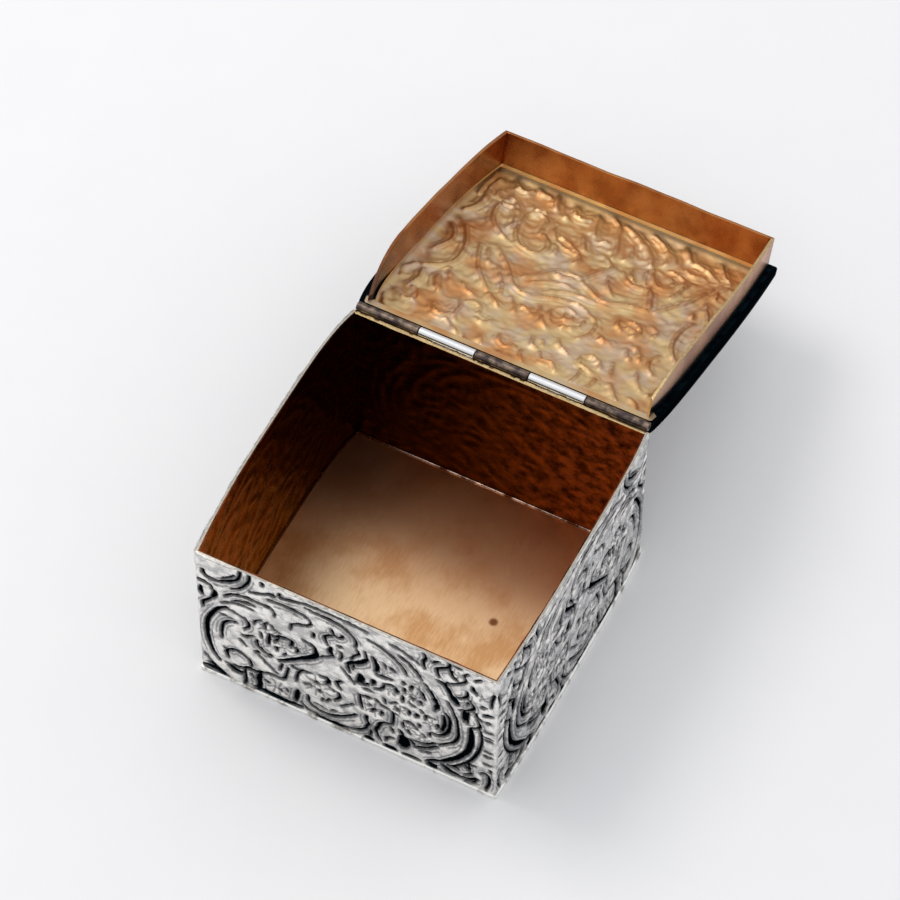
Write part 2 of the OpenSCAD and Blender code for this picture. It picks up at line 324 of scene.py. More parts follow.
right_bouquet = [
    (0.4, (26.3, 16.2), (26.3, 15.7)),
    (0.35, (27.4, 16.1), (27.1, 15.1)),
    (0.45, (28.2, 16), (28.6, 15.4), (28.9, 14.3)),
    (0.35, (26.3, 14.9), (26.4, 13.9)),
    (0.45, (27.2, 13.5), (27.5, 13.4)),
    (0.5, (28.3, 13.4), (28.5, 13)),
    (0.7, (25.4, 13.9), (25.3, 13.2)),
    (0.3, (26.2, 13.1), (26.1, 11.8)),
    (0.25, (27, 12.3), (27.7, 12)),
    (0.3, (28.5, 11.7), (28.7, 11.3)),
    (0.35, (29, 10.2), (29.2, 11), (30.2, 11.2)),
    (0.3, (24.6, 10.4), (25.4, 11.1)),
    (0.45, (26.3, 10.7), (26.9, 10.4), (26.9, 9.7)),
    (0.55, (28.1, 10.6), (27.8, 9.8)),
    (0.25, (25.2, 9.9), (25.6, 9.4)),
    (0.3, (25, 8.6), (25.5, 8.4)),
    (0.4, (30.6, 10.1), (30.5, 9.3)),
    (0.45, (26.4, 7.8), (27.2, 8), (28, 7.2)),
    (0.25, (26.1, 7.3), (26.2, 6.4)),
    (0.45, (26.6, 6.1), (27.1, 5.7)),
    (0.3, (28.3, 8.6), (28.2, 7.9)),
    (0.25, (28.7, 6.8), (28.9, 6.2)),
    (0.3, (29.6, 7.6), (29.5, 6.9)),
]
right_scroll = [
    (0.55, (28.9, 17.7), (29.7, 16.4), (30.3, 15), (30.6, 13.9), (30.2, 13)),
    (0.75, (30, 15.1), (30.5, 14.2), (30.2, 13.4)),
    (0.42, (31.8, 16.1), (32.4, 14.6), (32.9, 12.9), (33.1, 11), (33.1, 9.2), (32.6, 7.8),
     (31.6, 6.8), (30.8, 5.9)),
    (0.5, (30.6, 5.4), (29.6, 4.4), (28.5, 3.6), (27.6, 3.2)),
    (0.55, (31.5, 13.4), (32, 12.2), (32, 10.4), (31.6, 8.9), (30.8, 8), (29.9, 7.9)),
    (0.6, (31.3, 12.6), (31.4, 10.6), (31, 9)),
    (0.45, (27.5, 4.6), (28.5, 4.6), (29.6, 5.2), (30.4, 6.1)),
    (1, (34.7, 12.3), (34.8, 10.6), (34.7, 8.9), (34.3, 7), (33.6, 5.6)),
    (0.85, (34.2, 6.8), (33.3, 5.1), (32.2, 3.7), (31, 2.4)),
    (0.6, (31.2, 2.7), (30, 1.9), (29.2, 1.2)),
    (0.38, (35.7, 13.4), (36, 12), (36.1, 10.4), (35.8, 8.4), (35.2, 6.4), (34.3, 4.6),
     (33.5, 3.5), (32.6, 2.6)),
    (1.9, (26.2, 4.2), (26.3, 3.1), (26, 2.1)),
    (0.5, (25.8, 5.4), (26, 4.6)),
    (0.55, (27, 4.3), (27.6, 3.5)),
    (0.25, (28.4, 2.9), (29.6, 3.3)),
]
lattice = [
    (0.42, (28.8, 24), (29, 23), (28.7, 22), (28.9, 20.9)),
    (0.45, (29.9, 22.7), (30.7, 23.6)),
    (0.5, (32, 24.2), (31.9, 23.2), (31, 22.4), (30.4, 21.7), (30.7, 20.5)),
    (0.5, (31.9, 23.2), (32.3, 22), (33, 21.3)),
    (0.6, (32.4, 24.3), (33.4, 24.1)),
    (0.35, (34.3, 23.6), (33.8, 22.8), (34, 21.8), (33.2, 20.8), (32.2, 20.1), (31.4, 19.5)),
    (0.75, (30.6, 19.7), (31.4, 19.3), (31.9, 18.3), (32.4, 17.3)),
    (1.15, (32.1, 17.9), (32.6, 17.1), (33, 16.3)),
    (0.42, (33, 17.8), (33.8, 18.2), (34.2, 18.9), (34.2, 19.8)),
    (0.42, (34.3, 18.4), (34.9, 17.6), (35, 16.7), (34.3, 15.9), (33.4, 15.5)),
    (0.3, (34.4, 17.6), (34.2, 17)),
    (1, (33.9, 15.4), (34, 14.4), (33.9, 13.6)),
    (0.35, (34.4, 15.6), (34.3, 14.4), (34.3, 13.2)),
    (0.5, (34.9, 21.4), (35, 20.6), (35.4, 20.2)),
    (0.35, (35.2, 22.8), (35.9, 23.5)),
    (0.35, (37.6, 21.6), (37.3, 20.2), (37.2, 18.7)),
    (0.3, (36, 17.9), (36.6, 18.3)),
    (0.5, (36.4, 16.5), (37.4, 17)),
    (0.45, (36.7, 15.2), (37.1, 15.3)),
    (0.45, (35.2, 16.2), (35.5, 15.4), (36.1, 15.2)),
    (0.4, (35.5, 14.9), (35.8, 14.2), (35.8, 13.4), (35.1, 12.8), (34.7, 12.4)),
]
corner_scroll = [
    (1, (31.2, 1.9), (32.2, 1.3), (33.6, 1.2)),
    (0.7, (33.4, 1.2), (34.7, 1.4), (35.7, 2.1)),
    (0.6, (31.9, 2.3), (33.2, 2.6)),
    (0.4, (33.8, 3.9), (34.6, 3.4), (34.5, 4.5), (35.4, 4.8)),
    (0.35, (34, 2), (34.8, 2.5), (34.5, 3.2)),
    (0.45, (36.1, 3.7), (36.7, 4.1), (37.1, 3.3), (37.1, 2), (36.8, 0.8)),
    (0.35, (35.6, 2), (35.2, 1.1), (34.2, 0.7)),
    (0.25, (37.3, 5.3), (37.3, 4.6)),
    (0.9, (29.4, 0.9), (30.4, 0.8)),
]

# Small flowers: the middle, the radius and the number of petals
flowers = [
    (15.3, 7.1, 2.1, 9), (22.4, 7.7, 1.5, 7), (27.6, 14.2, 1.7, 8), (29.8, 9.9, 1.2, 6),
    (27, 7, 1, 6), (24.5, 13.2, 1, 6), (25.8, 9.9, 1, 6), (11.1, 12.6, 1.4, 7), (13.8, 14, 1.1, 6),
    (8.7, 14.6, 1.1, 6), (9.9, 3, 1.6, 8), (28.4, 17.3, 1, 6), (8.2, 10.8, 1.2, 6),
    (24.1, 16.7, 0.9, 5), (18, 16.4, 0.8, 5), (28.6, 6.2, 0.9, 5), (33.3, 22.6, 0.8, 5),
    (36.2, 20.2, 0.9, 5), (34, 17.1, 0.7, 5),
]
petal_line_w = 0.18
eye_line_w = 0.14
doubled_line_w = 0.13
doubled_away = 0.42
doubled_from_w = 0.4
doubled_from_l = 2.5


def on_flower(flower, part, angle):
    """A point at a part of a flower's radius, in a direction from its middle."""
    x, z, r, _ = flower
    return x + part * r * math.cos(angle), z + part * r * math.sin(angle)


def petal_lines(flowers):
    """Short lines between the petals of each flower, and one round its eye."""
    lines = []
    for flower in flowers:
        petals = flower[3]
        for i in range(petals):
            a = 2 * math.pi * (i + 0.3) / petals
            lines.append((petal_line_w, on_flower(flower, 0.4, a),
                          on_flower(flower, 0.95, a + 0.15)))
        lines.append((eye_line_w, *[on_flower(flower, 0.22, a) for a in range(7)]))
    return lines


# Short strokes of the ground beside the right scroll, one above the other
ground_ticks = [(0.22, (36.5, z), (37.4, z + 0.1)) for z in (13.2, 12.0, 11.4, 9.0, 8.0, 6.3)]
wall_die = (corner_shell + left_scroll + top_sweeps + curls + bouquet + rosette + under_scroll
            + centre_flowers + right_bouquet + right_scroll + lattice + corner_scroll
            + ground_ticks)


def smooth_line(points):
    """A Catmull-Rom curve through a few points, as a fine polyline."""
    ends = np.array(points, float)
    ends = np.vstack([2 * ends[0] - ends[1], ends, 2 * ends[-1] - ends[-2]])
    t = np.linspace(0, 1, 7)[:-1, None]
    spans = [
        0.5 * (2 * b + (c - a) * t + (2 * a - 5 * b + 4 * c - d) * t**2
               + (3 * b - a - 3 * c + d) * t**3)
        for a, b, c, d in zip(ends, ends[1:], ends[2:], ends[3:])]
    return np.vstack(spans + [ends[-2:-1]])


def doubled(die):
    """Fine lines beside the longer, broader grooves, as a die cutter doubles an outline."""
    lines = []
    for width, *points in die:
        line = smooth_line(points)
        length = np.hypot(*np.diff(line, axis=0).T).sum()
        if width < doubled_from_w or length < doubled_from_l:
            continue
        along = np.gradient(line, axis=0)
        side = np.stack([along[:, 1], -along[:, 0]], -1) / np.hypot(*along.T)[:, None]
        trim = len(line) // 7  # a seventh is left off at each end
        for way in (-1, 1):
            beside = line + way * (width / 2 + doubled_away) * side
            lines.append((doubled_line_w, *beside[trim:len(line) - trim:2]))
    return lines


def away_from_grooves(die, across, up, reach=2.2):
    """Distance in mm from each grid point to the edge of the nearest groove, negative in one.

    A line's width takes in its dark flanks. The groove is 0.38 of it on each side of the
    middle, and narrows to less than half of that at its ends.
    """
    distance = np.full((len(up), len(across)), reach)
    for width, *points in die:
        line = smooth_line(points)
        rows = slice(*np.searchsorted(up, [line[:, 1].min() - reach, line[:, 1].max() + reach]))
        cols = slice(*np.searchsorted(
            across, [line[:, 0].min() - reach, line[:, 0].max() + reach]))
        if rows.start == rows.stop or cols.start == cols.stop:
            continue
        x, z = np.meshgrid(across[cols], up[rows])
        here = distance[rows, cols]
        steps = len(line) - 1
        for i, (a, b) in enumerate(zip(line, line[1:])):
            dx, dz = b - a
            along = np.clip(((x - a[0]) * dx + (z - a[1]) * dz) / (dx * dx + dz * dz), 0, 1)
            far = np.hypot(x - a[0] - along * dx, z - a[1] - along * dz)
            taper = 0.45 + 0.55 * np.sin(math.pi * (i + along) / steps) ** 0.6
            np.minimum(here, far - taper * width * 0.38, out=here)
    return distance


def smooth_step(value, start, end):
    """From 0 at the start to 1 at the end, flat at both."""
    t = np.clip((value - start) / (end - start), 0, 1)
    return t * t * (3 - 2 * t)


def softened(field, rounds):
    """The field blurred a little, as metal that doesn't follow the die into every corner."""
    for _ in range(rounds):
        edge = np.pad(field, 1, mode="edge")
        field = (edge[:-2, 1:-1] + edge[2:, 1:-1] + edge[1:-1, :-2] + edge[1:-1, 2:]
                 + 2 * field) / 6
    return field


def border(rows, cols):
    """Point numbers round the edge of a grid, anticlockwise."""
    number = np.arange(rows * cols).reshape(rows, cols)
    return np.concatenate(
        [number[0, :-1], number[:-1, -1], number[-1, :0:-1], number[:0:-1, 0]])


def new_mesh(name, points, faces, slots, materials, sharp_angle):
    """A smooth mesh of points in mm, with a material slot for each face."""
    mesh = bpy.data.meshes.new(name)
    mesh.from_pydata((points * MM).tolist(), [], faces)
    for material in materials:
        mesh.materials.append(material)
    mesh.polygons.foreach_set("material_index", slots)
    mesh.shade_smooth()
    mesh.set_sharp_from_angle(angle=math.radians(sharp_angle))
    return mesh


def closed_sheet(name, outer, inner, materials, rings=(), ring_slots=(2,), values=None):
    """A closed mesh of two grids of points joined round their edges, in mm.

    The inner grid is as fine as the outer or half as fine. Rings are loops of points that the
    joining surface passes through.
    """
    grids = []
    first = 0
    for grid in (outer, inner):
        grids.append(first + np.arange(grid.size // 3).reshape(grid.shape[:2]))
        first += grid.size // 3
    faces = []
    slots = []
    for slot_number, n in enumerate(grids):
        quads = np.stack([n[:-1, :-1], n[:-1, 1:], n[1:, 1:], n[1:, :-1]], -1).reshape(-1, 4)
        faces += (quads if slot_number == 0 else quads[:, ::-1]).tolist()
        slots += [slot_number] * len(quads)
    edges = [border(*outer.shape[:2]), grids[1].ravel()[border(*inner.shape[:2])]]
    loops = [edges[0]] + [first + i * len(edges[0]) + np.arange(len(edges[0]))
                          for i in range(len(rings))] + [edges[1]]
    for a, b, slot_number in zip(loops, loops[1:], ring_slots):
        step = len(a) // len(b)
        for k in range(len(b)):
            outside_run = [a[(step * k + i) % len(a)] for i in range(step, -1, -1)]
            faces.append([int(i) for i in outside_run + [b[k], b[(k + 1) % len(b)]]])
        slots += [slot_number] * len(b)
    points = np.vstack([outer.reshape(-1, 3), inner.reshape(-1, 3), *rings])
    mesh = new_mesh(name, points, faces, slots, materials, sharp_angle=50)
    step = (outer.shape[0] - 1) // (inner.shape[0] - 1)
    for key, grid in (values or {}).items():
        flat = np.concatenate([grid.ravel(), grid[::step, ::step].ravel()]
                              + [grid.ravel()[edges[0]] for _ in rings])
        mesh.attributes.new(key, "FLOAT", "POINT").data.foreach_set("value", flat)
    mesh.update()
    return mesh


def set_up(name, mesh, body, slot, *nodes):
    """Puts a finished mesh into the scene in place of its CAD nodes."""
    made = bpy.data.objects.new(name, mesh)
    bpy.context.scene.collection.objects.link(made)
    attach(made, body)
    if nodes:
        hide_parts(*nodes)
    return made


def patchy(tree, place, size, edges, colours, noise_inputs):
    """Two colours in soft-edged patches of a size in mm: the colour, and the noise behind it."""
    noise = add_node(tree, "ShaderNodeTexNoise",
                     {"Vector": place, "Scale": 1 / (size * MM), **noise_inputs})
    patch = add_node(tree, "ShaderNodeMapRange",
                     {"Value": noise, "From Min": edges[0], "From Max": edges[1]},
                     interpolation_type="SMOOTHSTEP")
    colour = add_node(tree, "ShaderNodeMix", {0: patch, 6: colours[0], 7: colours[1]},
                      data_type="RGBA")
    return colour, noise


def grained(tree, place, size, roughness, bump_strength, bump_depth):
    """Fine grain of a size in mm: its noise, the roughness it gives and the pits it leaves."""
    grain = add_node(tree, "ShaderNodeTexNoise",
                     {"Vector": place, "Scale": 1 / (size * MM), "Detail": 3})
    finish = add_node(tree, "ShaderNodeMapRange",
                      {"Value": grain, "To Min": roughness[0], "To Max": roughness[1]})
    pitting = add_node(tree, "ShaderNodeBump", {"Strength": bump_strength,
                                                "Distance": bump_depth * MM, "Height": grain})
    return grain, finish, pitting


# Blackened sterling silver, struck in a die: pale high forms polished by handling, flanks greyed
# beside the grooves by tarnish and painted shade, and a matt black skin of sulphide in the grooves
blackened_silver, tree, shader, place = new_material("blackened_stamped_silver")
hollow = add_node(tree, "ShaderNodeAttribute", attribute_name="hollow")
polish, _ = patchy(tree, place, 1.3, (0.36, 0.6), ("#C3C1BF", "#F6F3EE"), {"Detail": 4})
grain, finish, pitting = grained(tree, place, 0.22, (0.2, 0.34), 0.5, 0.012)
feed(finish, {"From Min": 0.3, "From Max": 0.7})
ragged = add_node(tree, "ShaderNodeMath", {0: grain, 1: 0.24, 2: -0.12},
                  operation="MULTIPLY_ADD")
ragged_hollow = add_node(tree, "ShaderNodeMath", {0: hollow.outputs["Fac"], 1: ragged},
                         operation="ADD")
sulphide = add_node(tree, "ShaderNodeMapRange",
                    {"Value": ragged_hollow, "From Min": 0.63, "From Max": 0.93},
                    interpolation_type="SMOOTHSTEP")
# Painted shade, with some tarnish: the flanks turn grey towards the grooves
grey_veil_tarnish_and_shade = add_node(tree, "ShaderNodeMapRange",
                {"Value": ragged_hollow, "From Max": 0.6, "To Max": 0.95},
                interpolation_type="SMOOTHSTEP")
flank_with_painted_shade = add_node(tree, "ShaderNodeMix", {0: grey_veil_tarnish_and_shade, 6: polish, 7: "#605F60"}, data_type="RGBA")
skin = add_node(tree, "ShaderNodeMix", {0: sulphide, 6: flank_with_painted_shade, 7: "#0A1216"}, data_type="RGBA")
glancing = add_node(tree, "ShaderNodeMix", {0: sulphide, 6: "#E2E5EA", 7: "#2A3036"},
                    data_type="RGBA")
matt = add_node(tree, "ShaderNodeMath", {0: sulphide, 1: 0.25, 2: finish},
                operation="MULTIPLY_ADD")
feed(shader, {"Base Color": skin, "Specular Tint": glancing, "Metallic": 1, "Roughness": matt,
              "Normal": pitting})

# Gilding on the inside of the walls: thin, satin and browned by age in blotches, with painted
# shade that is darkest towards the back left corner and the floor
wall_gilding, tree, shader, place = new_material("browned_gilding_with_painted_shade")
age_and_shade_tone, _ = patchy(tree, place, 1.7, (0.33, 0.68), ("#8E5032", "#30170F"),
                 {"Detail": 6, "Roughness": 0.6})
_, finish, pitting = grained(tree, place, 0.25, (0.18, 0.34), 0.9, 0.03)
# Painted shade: darker towards the back left corner and down towards the floor
from_corner = add_node(tree, "ShaderNodeVectorMath",
                       {0: place, 1: (1, 1, 0.25), 2: (half * MM, -half * MM, 0)},
                       operation="MULTIPLY_ADD")
corner_distance = add_node(tree, "ShaderNodeVectorMath", {0: from_corner}, operation="LENGTH")
corner_shade = add_node(tree, "ShaderNodeMapRange",
                     {"Value": corner_distance.outputs["Value"], "From Min": 10 * MM,
                      "From Max": 40 * MM, "To Min": 0.93, "To Max": 0},
                     interpolation_type="SMOOTHSTEP")
with_corner_shade = add_node(tree, "ShaderNodeMix", {0: corner_shade, 6: age_and_shade_tone, 7: "#1A0C06"},
                    data_type="RGBA")
feed(shader, {"Base Color": with_corner_shade, "Specular Tint": "#EBC9AE", "Metallic": 1,
              "Roughness": finish, "Normal": pitting})

# Cut edge of the sheet: filed, then burnished by the lid, so bright with a fine mottle
filed_edge, tree, shader, place = new_material("filed_sheet_edge")
filing = add_node(tree, "ShaderNodeTexNoise",
                  {"Vector": place, "Scale": 1 / (0.3 * MM), "Detail": 2})
gleam = add_node(tree, "ShaderNodeMix", {0: filing, 6: "#8A857A", 7: "#D2CDC3"},
                 name="gleam", data_type="RGBA")
feed(shader, {"Base Color": gleam, "Metallic": 1, "Roughness": 0.3})

# The same edge where gilding lies over it: yellow gold, rubbed pale
gilt_edge = filed_edge.copy()
gilt_edge.name = "gilt_sheet_edge"
feed(gilt_edge.node_tree.nodes["gleam"], {6: "#A8834E", 7: "#F2D9A6"})

# The struck relief, in mm: how high the forms swell and how wide their shoulders are, how
# deep the cuts go, and how far from a cut the black reaches
relief_height = 0.44
near_swell = 0.22
wide_swell = 0.9
mitre_slope = 0.6
groove_depth = 0.14
groove_flank = 0.2
fine_depth = 0.09
fine_spread = 0.11
fine_reach = 0.5
ground_drop = 0.2
black_reach = 0.34
black_fade = 0.44
fine_black = 0.4
wall_cell = 0.11
wall_frame_w = 0.2
wall_unevenness = 0.025
inside_share = 0.32
die_width = 2 * half
wall_cols = 2 * round(die_width / wall_cell / 2)
wall_rows = 2 * round((rim_z - wall_z) / wall_cell / 2)
across = np.linspace(0, die_width, wall_cols + 1)
up = np.linspace(wall_z, rim_z, wall_rows + 1)


def struck(die, fine_die, across, up, frame_width, uneven):
    """Height and hollowness of struck metal: forms swell between the grooves, flat at the edge.

    Grooves stay shallow at the ends, where the mitre leaves little metal behind them.
    """
    away = away_from_grooves(die, across, up)
    fine = away_from_grooves(fine_die, across, up, fine_reach)
    outside = np.maximum(away, 0)
    swell = 1 - 0.5 * np.exp(-outside / near_swell) - 0.5 * np.exp(-outside / wide_swell)
    cut = np.clip(-away / groove_flank, 0, 1)
    fine_cut = np.exp(-(np.maximum(fine, 0) / fine_spread) ** 2)
    dents = np.random.default_rng(seed=5).standard_normal(away.shape)
    hammering = softened(dents, rounds=8)
    hammering *= uneven / hammering.std()
    height = (relief_height * swell - groove_depth * cut - fine_depth * fine_cut - ground_drop
              + hammering)
    x, z = np.meshgrid(across - across[0], up - up[0])
    to_end = np.minimum(x, x[0, -1] - x)
    height *= smooth_step(np.minimum(to_end, np.minimum(z, z[-1, 0] - z)), 0, frame_width)
    height = np.maximum(height, -mitre_slope * to_end)
    hollow = np.clip((black_reach - away) / black_fade, 0, 1)
    return height, np.maximum(hollow, fine_black * fine_cut)


wall_height, wall_hollow = struck(
    wall_die, petal_lines(flowers) + doubled(wall_die), across, up, wall_frame_w,
    wall_unevenness)
inside_height = softened(wall_height, rounds=16)[::2, ::2] * inside_share


def bulge(y, reach):
    """How far a side wall stands out, from 0 at its ends to 1."""
    t = y / reach
    return 1 - np.abs(t) ** np.where(t < 0, front_fullness, back_fullness)


def wall_face(wall, inset, raised):
    """The points of one face of a wall, inset from the outside and raised by the relief."""
    reach = half - inset
    along = np.broadcast_to(np.linspace(-reach, reach, raised.shape[1]), raised.shape)
    z = np.broadcast_to(np.linspace(wall_z, rim_z, raised.shape[0])[:, None], raised.shape)
    if wall in ("front_wall", "back_wall"):
        way = -1 if wall == "front_wall" else 1
        return np.stack([-way * along, way * (reach + raised), z], -1)
    way, bow = (-1, left_bow) if wall == "left_wall" else (1, right_bow)
    y = -way * along
    return np.stack([way * (reach + bow * bulge(y, reach) + raised), y, z], -1)[:, ::-1]


# Gilding laps over the inner part of each cut edge, and over all of the back wall's
gilt_share = 0.62
for wall in ("front_wall", "right_wall", "back_wall", "left_wall"):
    mirrored = wall in ("right_wall", "left_wall")
    gilt_from = wall_face(wall, gilt_share * sheet, 0 * wall_height).reshape(-1, 3)
    mesh = closed_sheet(
        wall + "_struck", wall_face(wall, 0, wall_height), wall_face(wall, sheet, inside_height),
        (blackened_silver, wall_gilding, gilt_edge if wall == "back_wall" else filed_edge),
        (gilt_from[border(*wall_height.shape)],), (2, 2 if wall == "back_wall" else 1),
        {"hollow": wall_hollow[:, ::-1] if mirrored else wall_hollow})
    set_up(wall + "_struck", mesh, "box", "relief_silver", wall)

# The base plate.
# A flat plate of thicker silver under the walls, its edge left proud as a small lip and rounded
# over. Its top is the gilt floor of the box, brushed from front to back.
base_lo, base_hi = [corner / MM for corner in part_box("base_plate")]
lip = -half - base_lo.y
lip_r = 0.24
corner_steps = 8
side_steps = 40


def rounded_plan(inset, r):
    """The outline of the box, anticlockwise, inset from the walls' outer faces."""
    reach = half - inset - r
    corners = [(-1, -1, 180), (1, -1, 270), (1, 1, 0), (-1, 1, 90)]
    outline = []
    for sx, sy, start in corners:
        for i in range(corner_steps + 1):
            a = math.radians(start + 90 * i / corner_steps)
            outline.append((sx * reach + r * math.cos(a), sy * reach + r * math.sin(a)))
        if sx == sy:
            continue
        way, bow = (1, right_bow) if sx > 0 else (-1, left_bow)
        for i in range(1, side_steps):
            along = way * reach * (2 * i / side_steps - 1)
            stand = bow * float(bulge(np.array(along), reach))
            outline.append((way * (half - inset + stand), along))
    return np.array(outline)


def at_height(outline, z):
    """The points of an outline, all at one height."""
    return np.column_stack([outline, np.full(len(outline), z)])


def lofted(name, loops, materials, slots=None, ring=False):
    """A closed mesh through loops of points: a ring, or a solid with a flat face at each end."""
    count = len(loops[0])
    spans = len(loops) if ring else len(loops) - 1
    slots = slots or [0] * (spans if ring else spans + 2)
    faces = []
    face_slots = []
    for i in range(spans):
        n = (i + 1) % len(loops)
        for j in range(count):
            k = (j + 1) % count
            faces.append((i * count + j, i * count + k, n * count + k, n * count + j))
            face_slots.append(slots[i])
    if not ring:
        faces.append(tuple(range((len(loops) - 1) * count, len(loops) * count)))
        faces.append(tuple(reversed(range(count))))
        face_slots += slots[-2:]
    return new_mesh(name, np.vstack(loops), faces, face_slots, materials, sharp_angle=40)


def fading(tree, place, axis, start, end, low=0, high=1):
    """A value that goes softly from low to high between two places along an axis, in mm."""
    parts = add_node(tree, "ShaderNodeSeparateXYZ", {0: place})
    return add_node(tree, "ShaderNodeMapRange",
                    {"Value": parts.outputs[axis], "From Min": start * MM, "From Max": end * MM,
                     "To Min": low, "To Max": high}, interpolation_type="SMOOTHSTEP")


# Satin gilding on silver: warm pale gold, brushed, browner in blotches and spotted in one place
floor_gilding, tree, shader, place = new_material("brushed_satin_gilding")
lengthwise = add_node(tree, "ShaderNodeMapping",
                      {"Vector": place, "Rotation": (0, 0, 0.25), "Scale": (1, 0.15, 1)})
brushing = add_node(tree, "ShaderNodeTexNoise",
                    {"Vector": lengthwise, "Scale": 1 / (0.2 * MM), "Detail": 4})
patches = add_node(tree, "ShaderNodeTexNoise",
                   {"Vector": place, "Scale": 1 / (7 * MM), "Detail": 4})
blotch = add_node(tree, "ShaderNodeMapRange",
                  {"Value": patches, "From Min": 0.4, "From Max": 0.7},
                  interpolation_type="SMOOTHSTEP")
brushed = add_node(tree, "ShaderNodeMapRange",
                   {"Value": brushing, "From Min": 0.35, "From Max": 0.65, "To Min": -0.18,
                    "To Max": 0.18})
uneven = add_node(tree, "ShaderNodeMath", {0: blotch, 1: brushed}, operation="ADD",
                  use_clamp=True)
gold = add_node(tree, "ShaderNodeMix", {0: uneven, 6: "#EFC698", 7: "#D39D6A"},
                data_type="RGBA")
# Painted shade: the floor is darker and more coppery towards the back wall
back_wall_shade = fading(tree, place, "Y", -4, 12, high=0.65)
age_and_shade_tone = add_node(tree, "ShaderNodeMix", {0: back_wall_shade, 6: gold, 7: "#D28C64"}, data_type="RGBA")
spot_place = add_node(tree, "ShaderNodeVectorMath",
                      {0: place, 1: (8.3 * MM, 1.8 * MM, base_hi.z * MM)},
                      operation="DISTANCE")
spot = add_node(tree, "ShaderNodeMapRange",
                {"Value": spot_place.outputs["Value"], "From Min": 0.3 * MM,
                 "From Max": 0.75 * MM, "To Min": 0.9, "To Max": 0},
                interpolation_type="SMOOTHSTEP")
spotted = add_node(tree, "ShaderNodeMix", {0: spot, 6: age_and_shade_tone, 7: "#6E3812"}, data_type="RGBA")
finish = add_node(tree, "ShaderNodeMapRange",
                  {"Value": brushing, "From Min": 0.3, "From Max": 0.7, "To Min": 0.29,
                   "To Max": 0.33})
feed(shader, {"Base Color": spotted, "Metallic": 1, "Roughness": finish})

# The lip is rubbed bright by handling and by every shelf the box stood on
burnished_lip, tree, shader, place = new_material("burnished_silver_lip")
silver, _ = patchy(tree, place, 1.5, (0.32, 0.5), ("#9E9890", "#FFFEFA"), {"Detail": 4})
feed(shader, {"Base Color": silver, "Metallic": 1, "Roughness": 0.4})

base_loops = []
for level, way, angles in ((base_lo.z, 1, range(0, 91, 15)),
                           (base_hi.z, -1, range(90, -1, -15))):
    for a in angles:
        c, s = math.cos(math.radians(a)), math.sin(math.radians(a))
        ring = rounded_plan(-lip + lip_r * (1 - s), lip)
        base_loops.append(at_height(ring, level + way * lip_r * (1 - c)))
base_loops.append(at_height(rounded_plan(sheet / 2, lip), base_hi.z))
base_slots = [1] * (len(base_loops) - 1) + [0, 1]
base_mesh = lofted(
    "base_plate_rounded", base_loops, (floor_gilding, burnished_lip), base_slots)
set_up("base_plate_rounded", base_mesh, "box", "gilt", "base_plate")

# The solder fillet.
# Hard silver solder run along the joint of walls and floor. It drew up into a thin fillet with
# small beads where it gathered. Browned, with a painted highlight in patches along the back.
run_inset = sheet + 0.05
run_lift = 0.04
run_corner_r = 0.2

solder_silver, tree, shader, place = new_material("hard_silver_solder")
patches = add_node(tree, "ShaderNodeTexNoise",
                   {"Vector": place, "Scale": 1 / (2 * MM), "Detail": 3})
showing = add_node(tree, "ShaderNodeMapRange",
                   {"Value": patches, "From Min": 0.35, "From Max": 0.6},
                   interpolation_type="SMOOTHSTEP")
# Painted highlight: near-white patches along the back, fading out towards the left end
back_highlight = add_node(tree, "ShaderNodeMath", {0: fading(tree, place, "Y", 12, 14),
                                           1: fading(tree, place, "X", -16, -4)},
                  operation="MULTIPLY")
bright = add_node(tree, "ShaderNodeMath", {0: back_highlight, 1: showing}, operation="MULTIPLY")
colour = add_node(tree, "ShaderNodeMix", {0: bright, 6: "#5A2E16", 7: "#FFE9DC"},
                  data_type="RGBA")
feed(shader, {"Base Color": colour, "Metallic": 1, "Roughness": 0.28})

solder_tree = tree = bpy.data.node_groups.new("solder_run", "GeometryNodeTree")
tree.interface.new_socket("Geometry", in_out="INPUT", socket_type="NodeSocketGeometry")
for name, kind, value in (("Fillet radius", "NodeSocketFloat", 0.17 * MM),
                          ("Bead spacing", "NodeSocketFloat", 0.9 * MM),
                          ("Bead radius", "NodeSocketFloat", 0.24 * MM),
                          ("Seed", "NodeSocketInt", 7)):
    tree.interface.new_socket(name, in_out="INPUT", socket_type=kind).default_value = value
tree.interface.new_socket("Material", in_out="INPUT", socket_type="NodeSocketMaterial")
tree.interface.new_socket("Geometry", in_out="OUTPUT", socket_type="NodeSocketGeometry")
given = add_node(tree, "NodeGroupInput").outputs
path = add_node(tree, "GeometryNodeMeshToCurve", {"Mesh": given["Geometry"]})
round_section = add_node(tree, "GeometryNodeCurvePrimitiveCircle",
                         {"Resolution": 8, "Radius": given["Fillet radius"]})
fillet = add_node(tree, "GeometryNodeCurveToMesh",
                  {"Curve": path, "Profile Curve": round_section})
spaced = add_node(tree, "GeometryNodeResampleCurve",
                  {"Curve": path, "Length": given["Bead spacing"]}, mode="LENGTH")
bead = add_node(tree, "GeometryNodeMeshIcoSphere",
                {"Radius": given["Bead radius"], "Subdivisions": 2})
size = add_node(tree, "FunctionNodeRandomValue", {2: 0.35, 3: 1, "Seed": given["Seed"]},
                data_type="FLOAT")
beads = add_node(tree, "GeometryNodeInstanceOnPoints",
                 {"Points": spaced, "Instance": bead, "Scale": size.outputs[1]})
run = add_node(tree, "GeometryNodeJoinGeometry", {0: fillet})
feed(run, {0: beads})
real = add_node(tree, "GeometryNodeRealizeInstances", {"Geometry": run})
rounded = add_node(tree, "GeometryNodeSetShadeSmooth", {"Geometry": real})
coated = add_node(tree, "GeometryNodeSetMaterial",
                  {"Geometry": rounded, "Material": given["Material"]})
add_node(tree, "NodeGroupOutput", {"Geometry": coated})


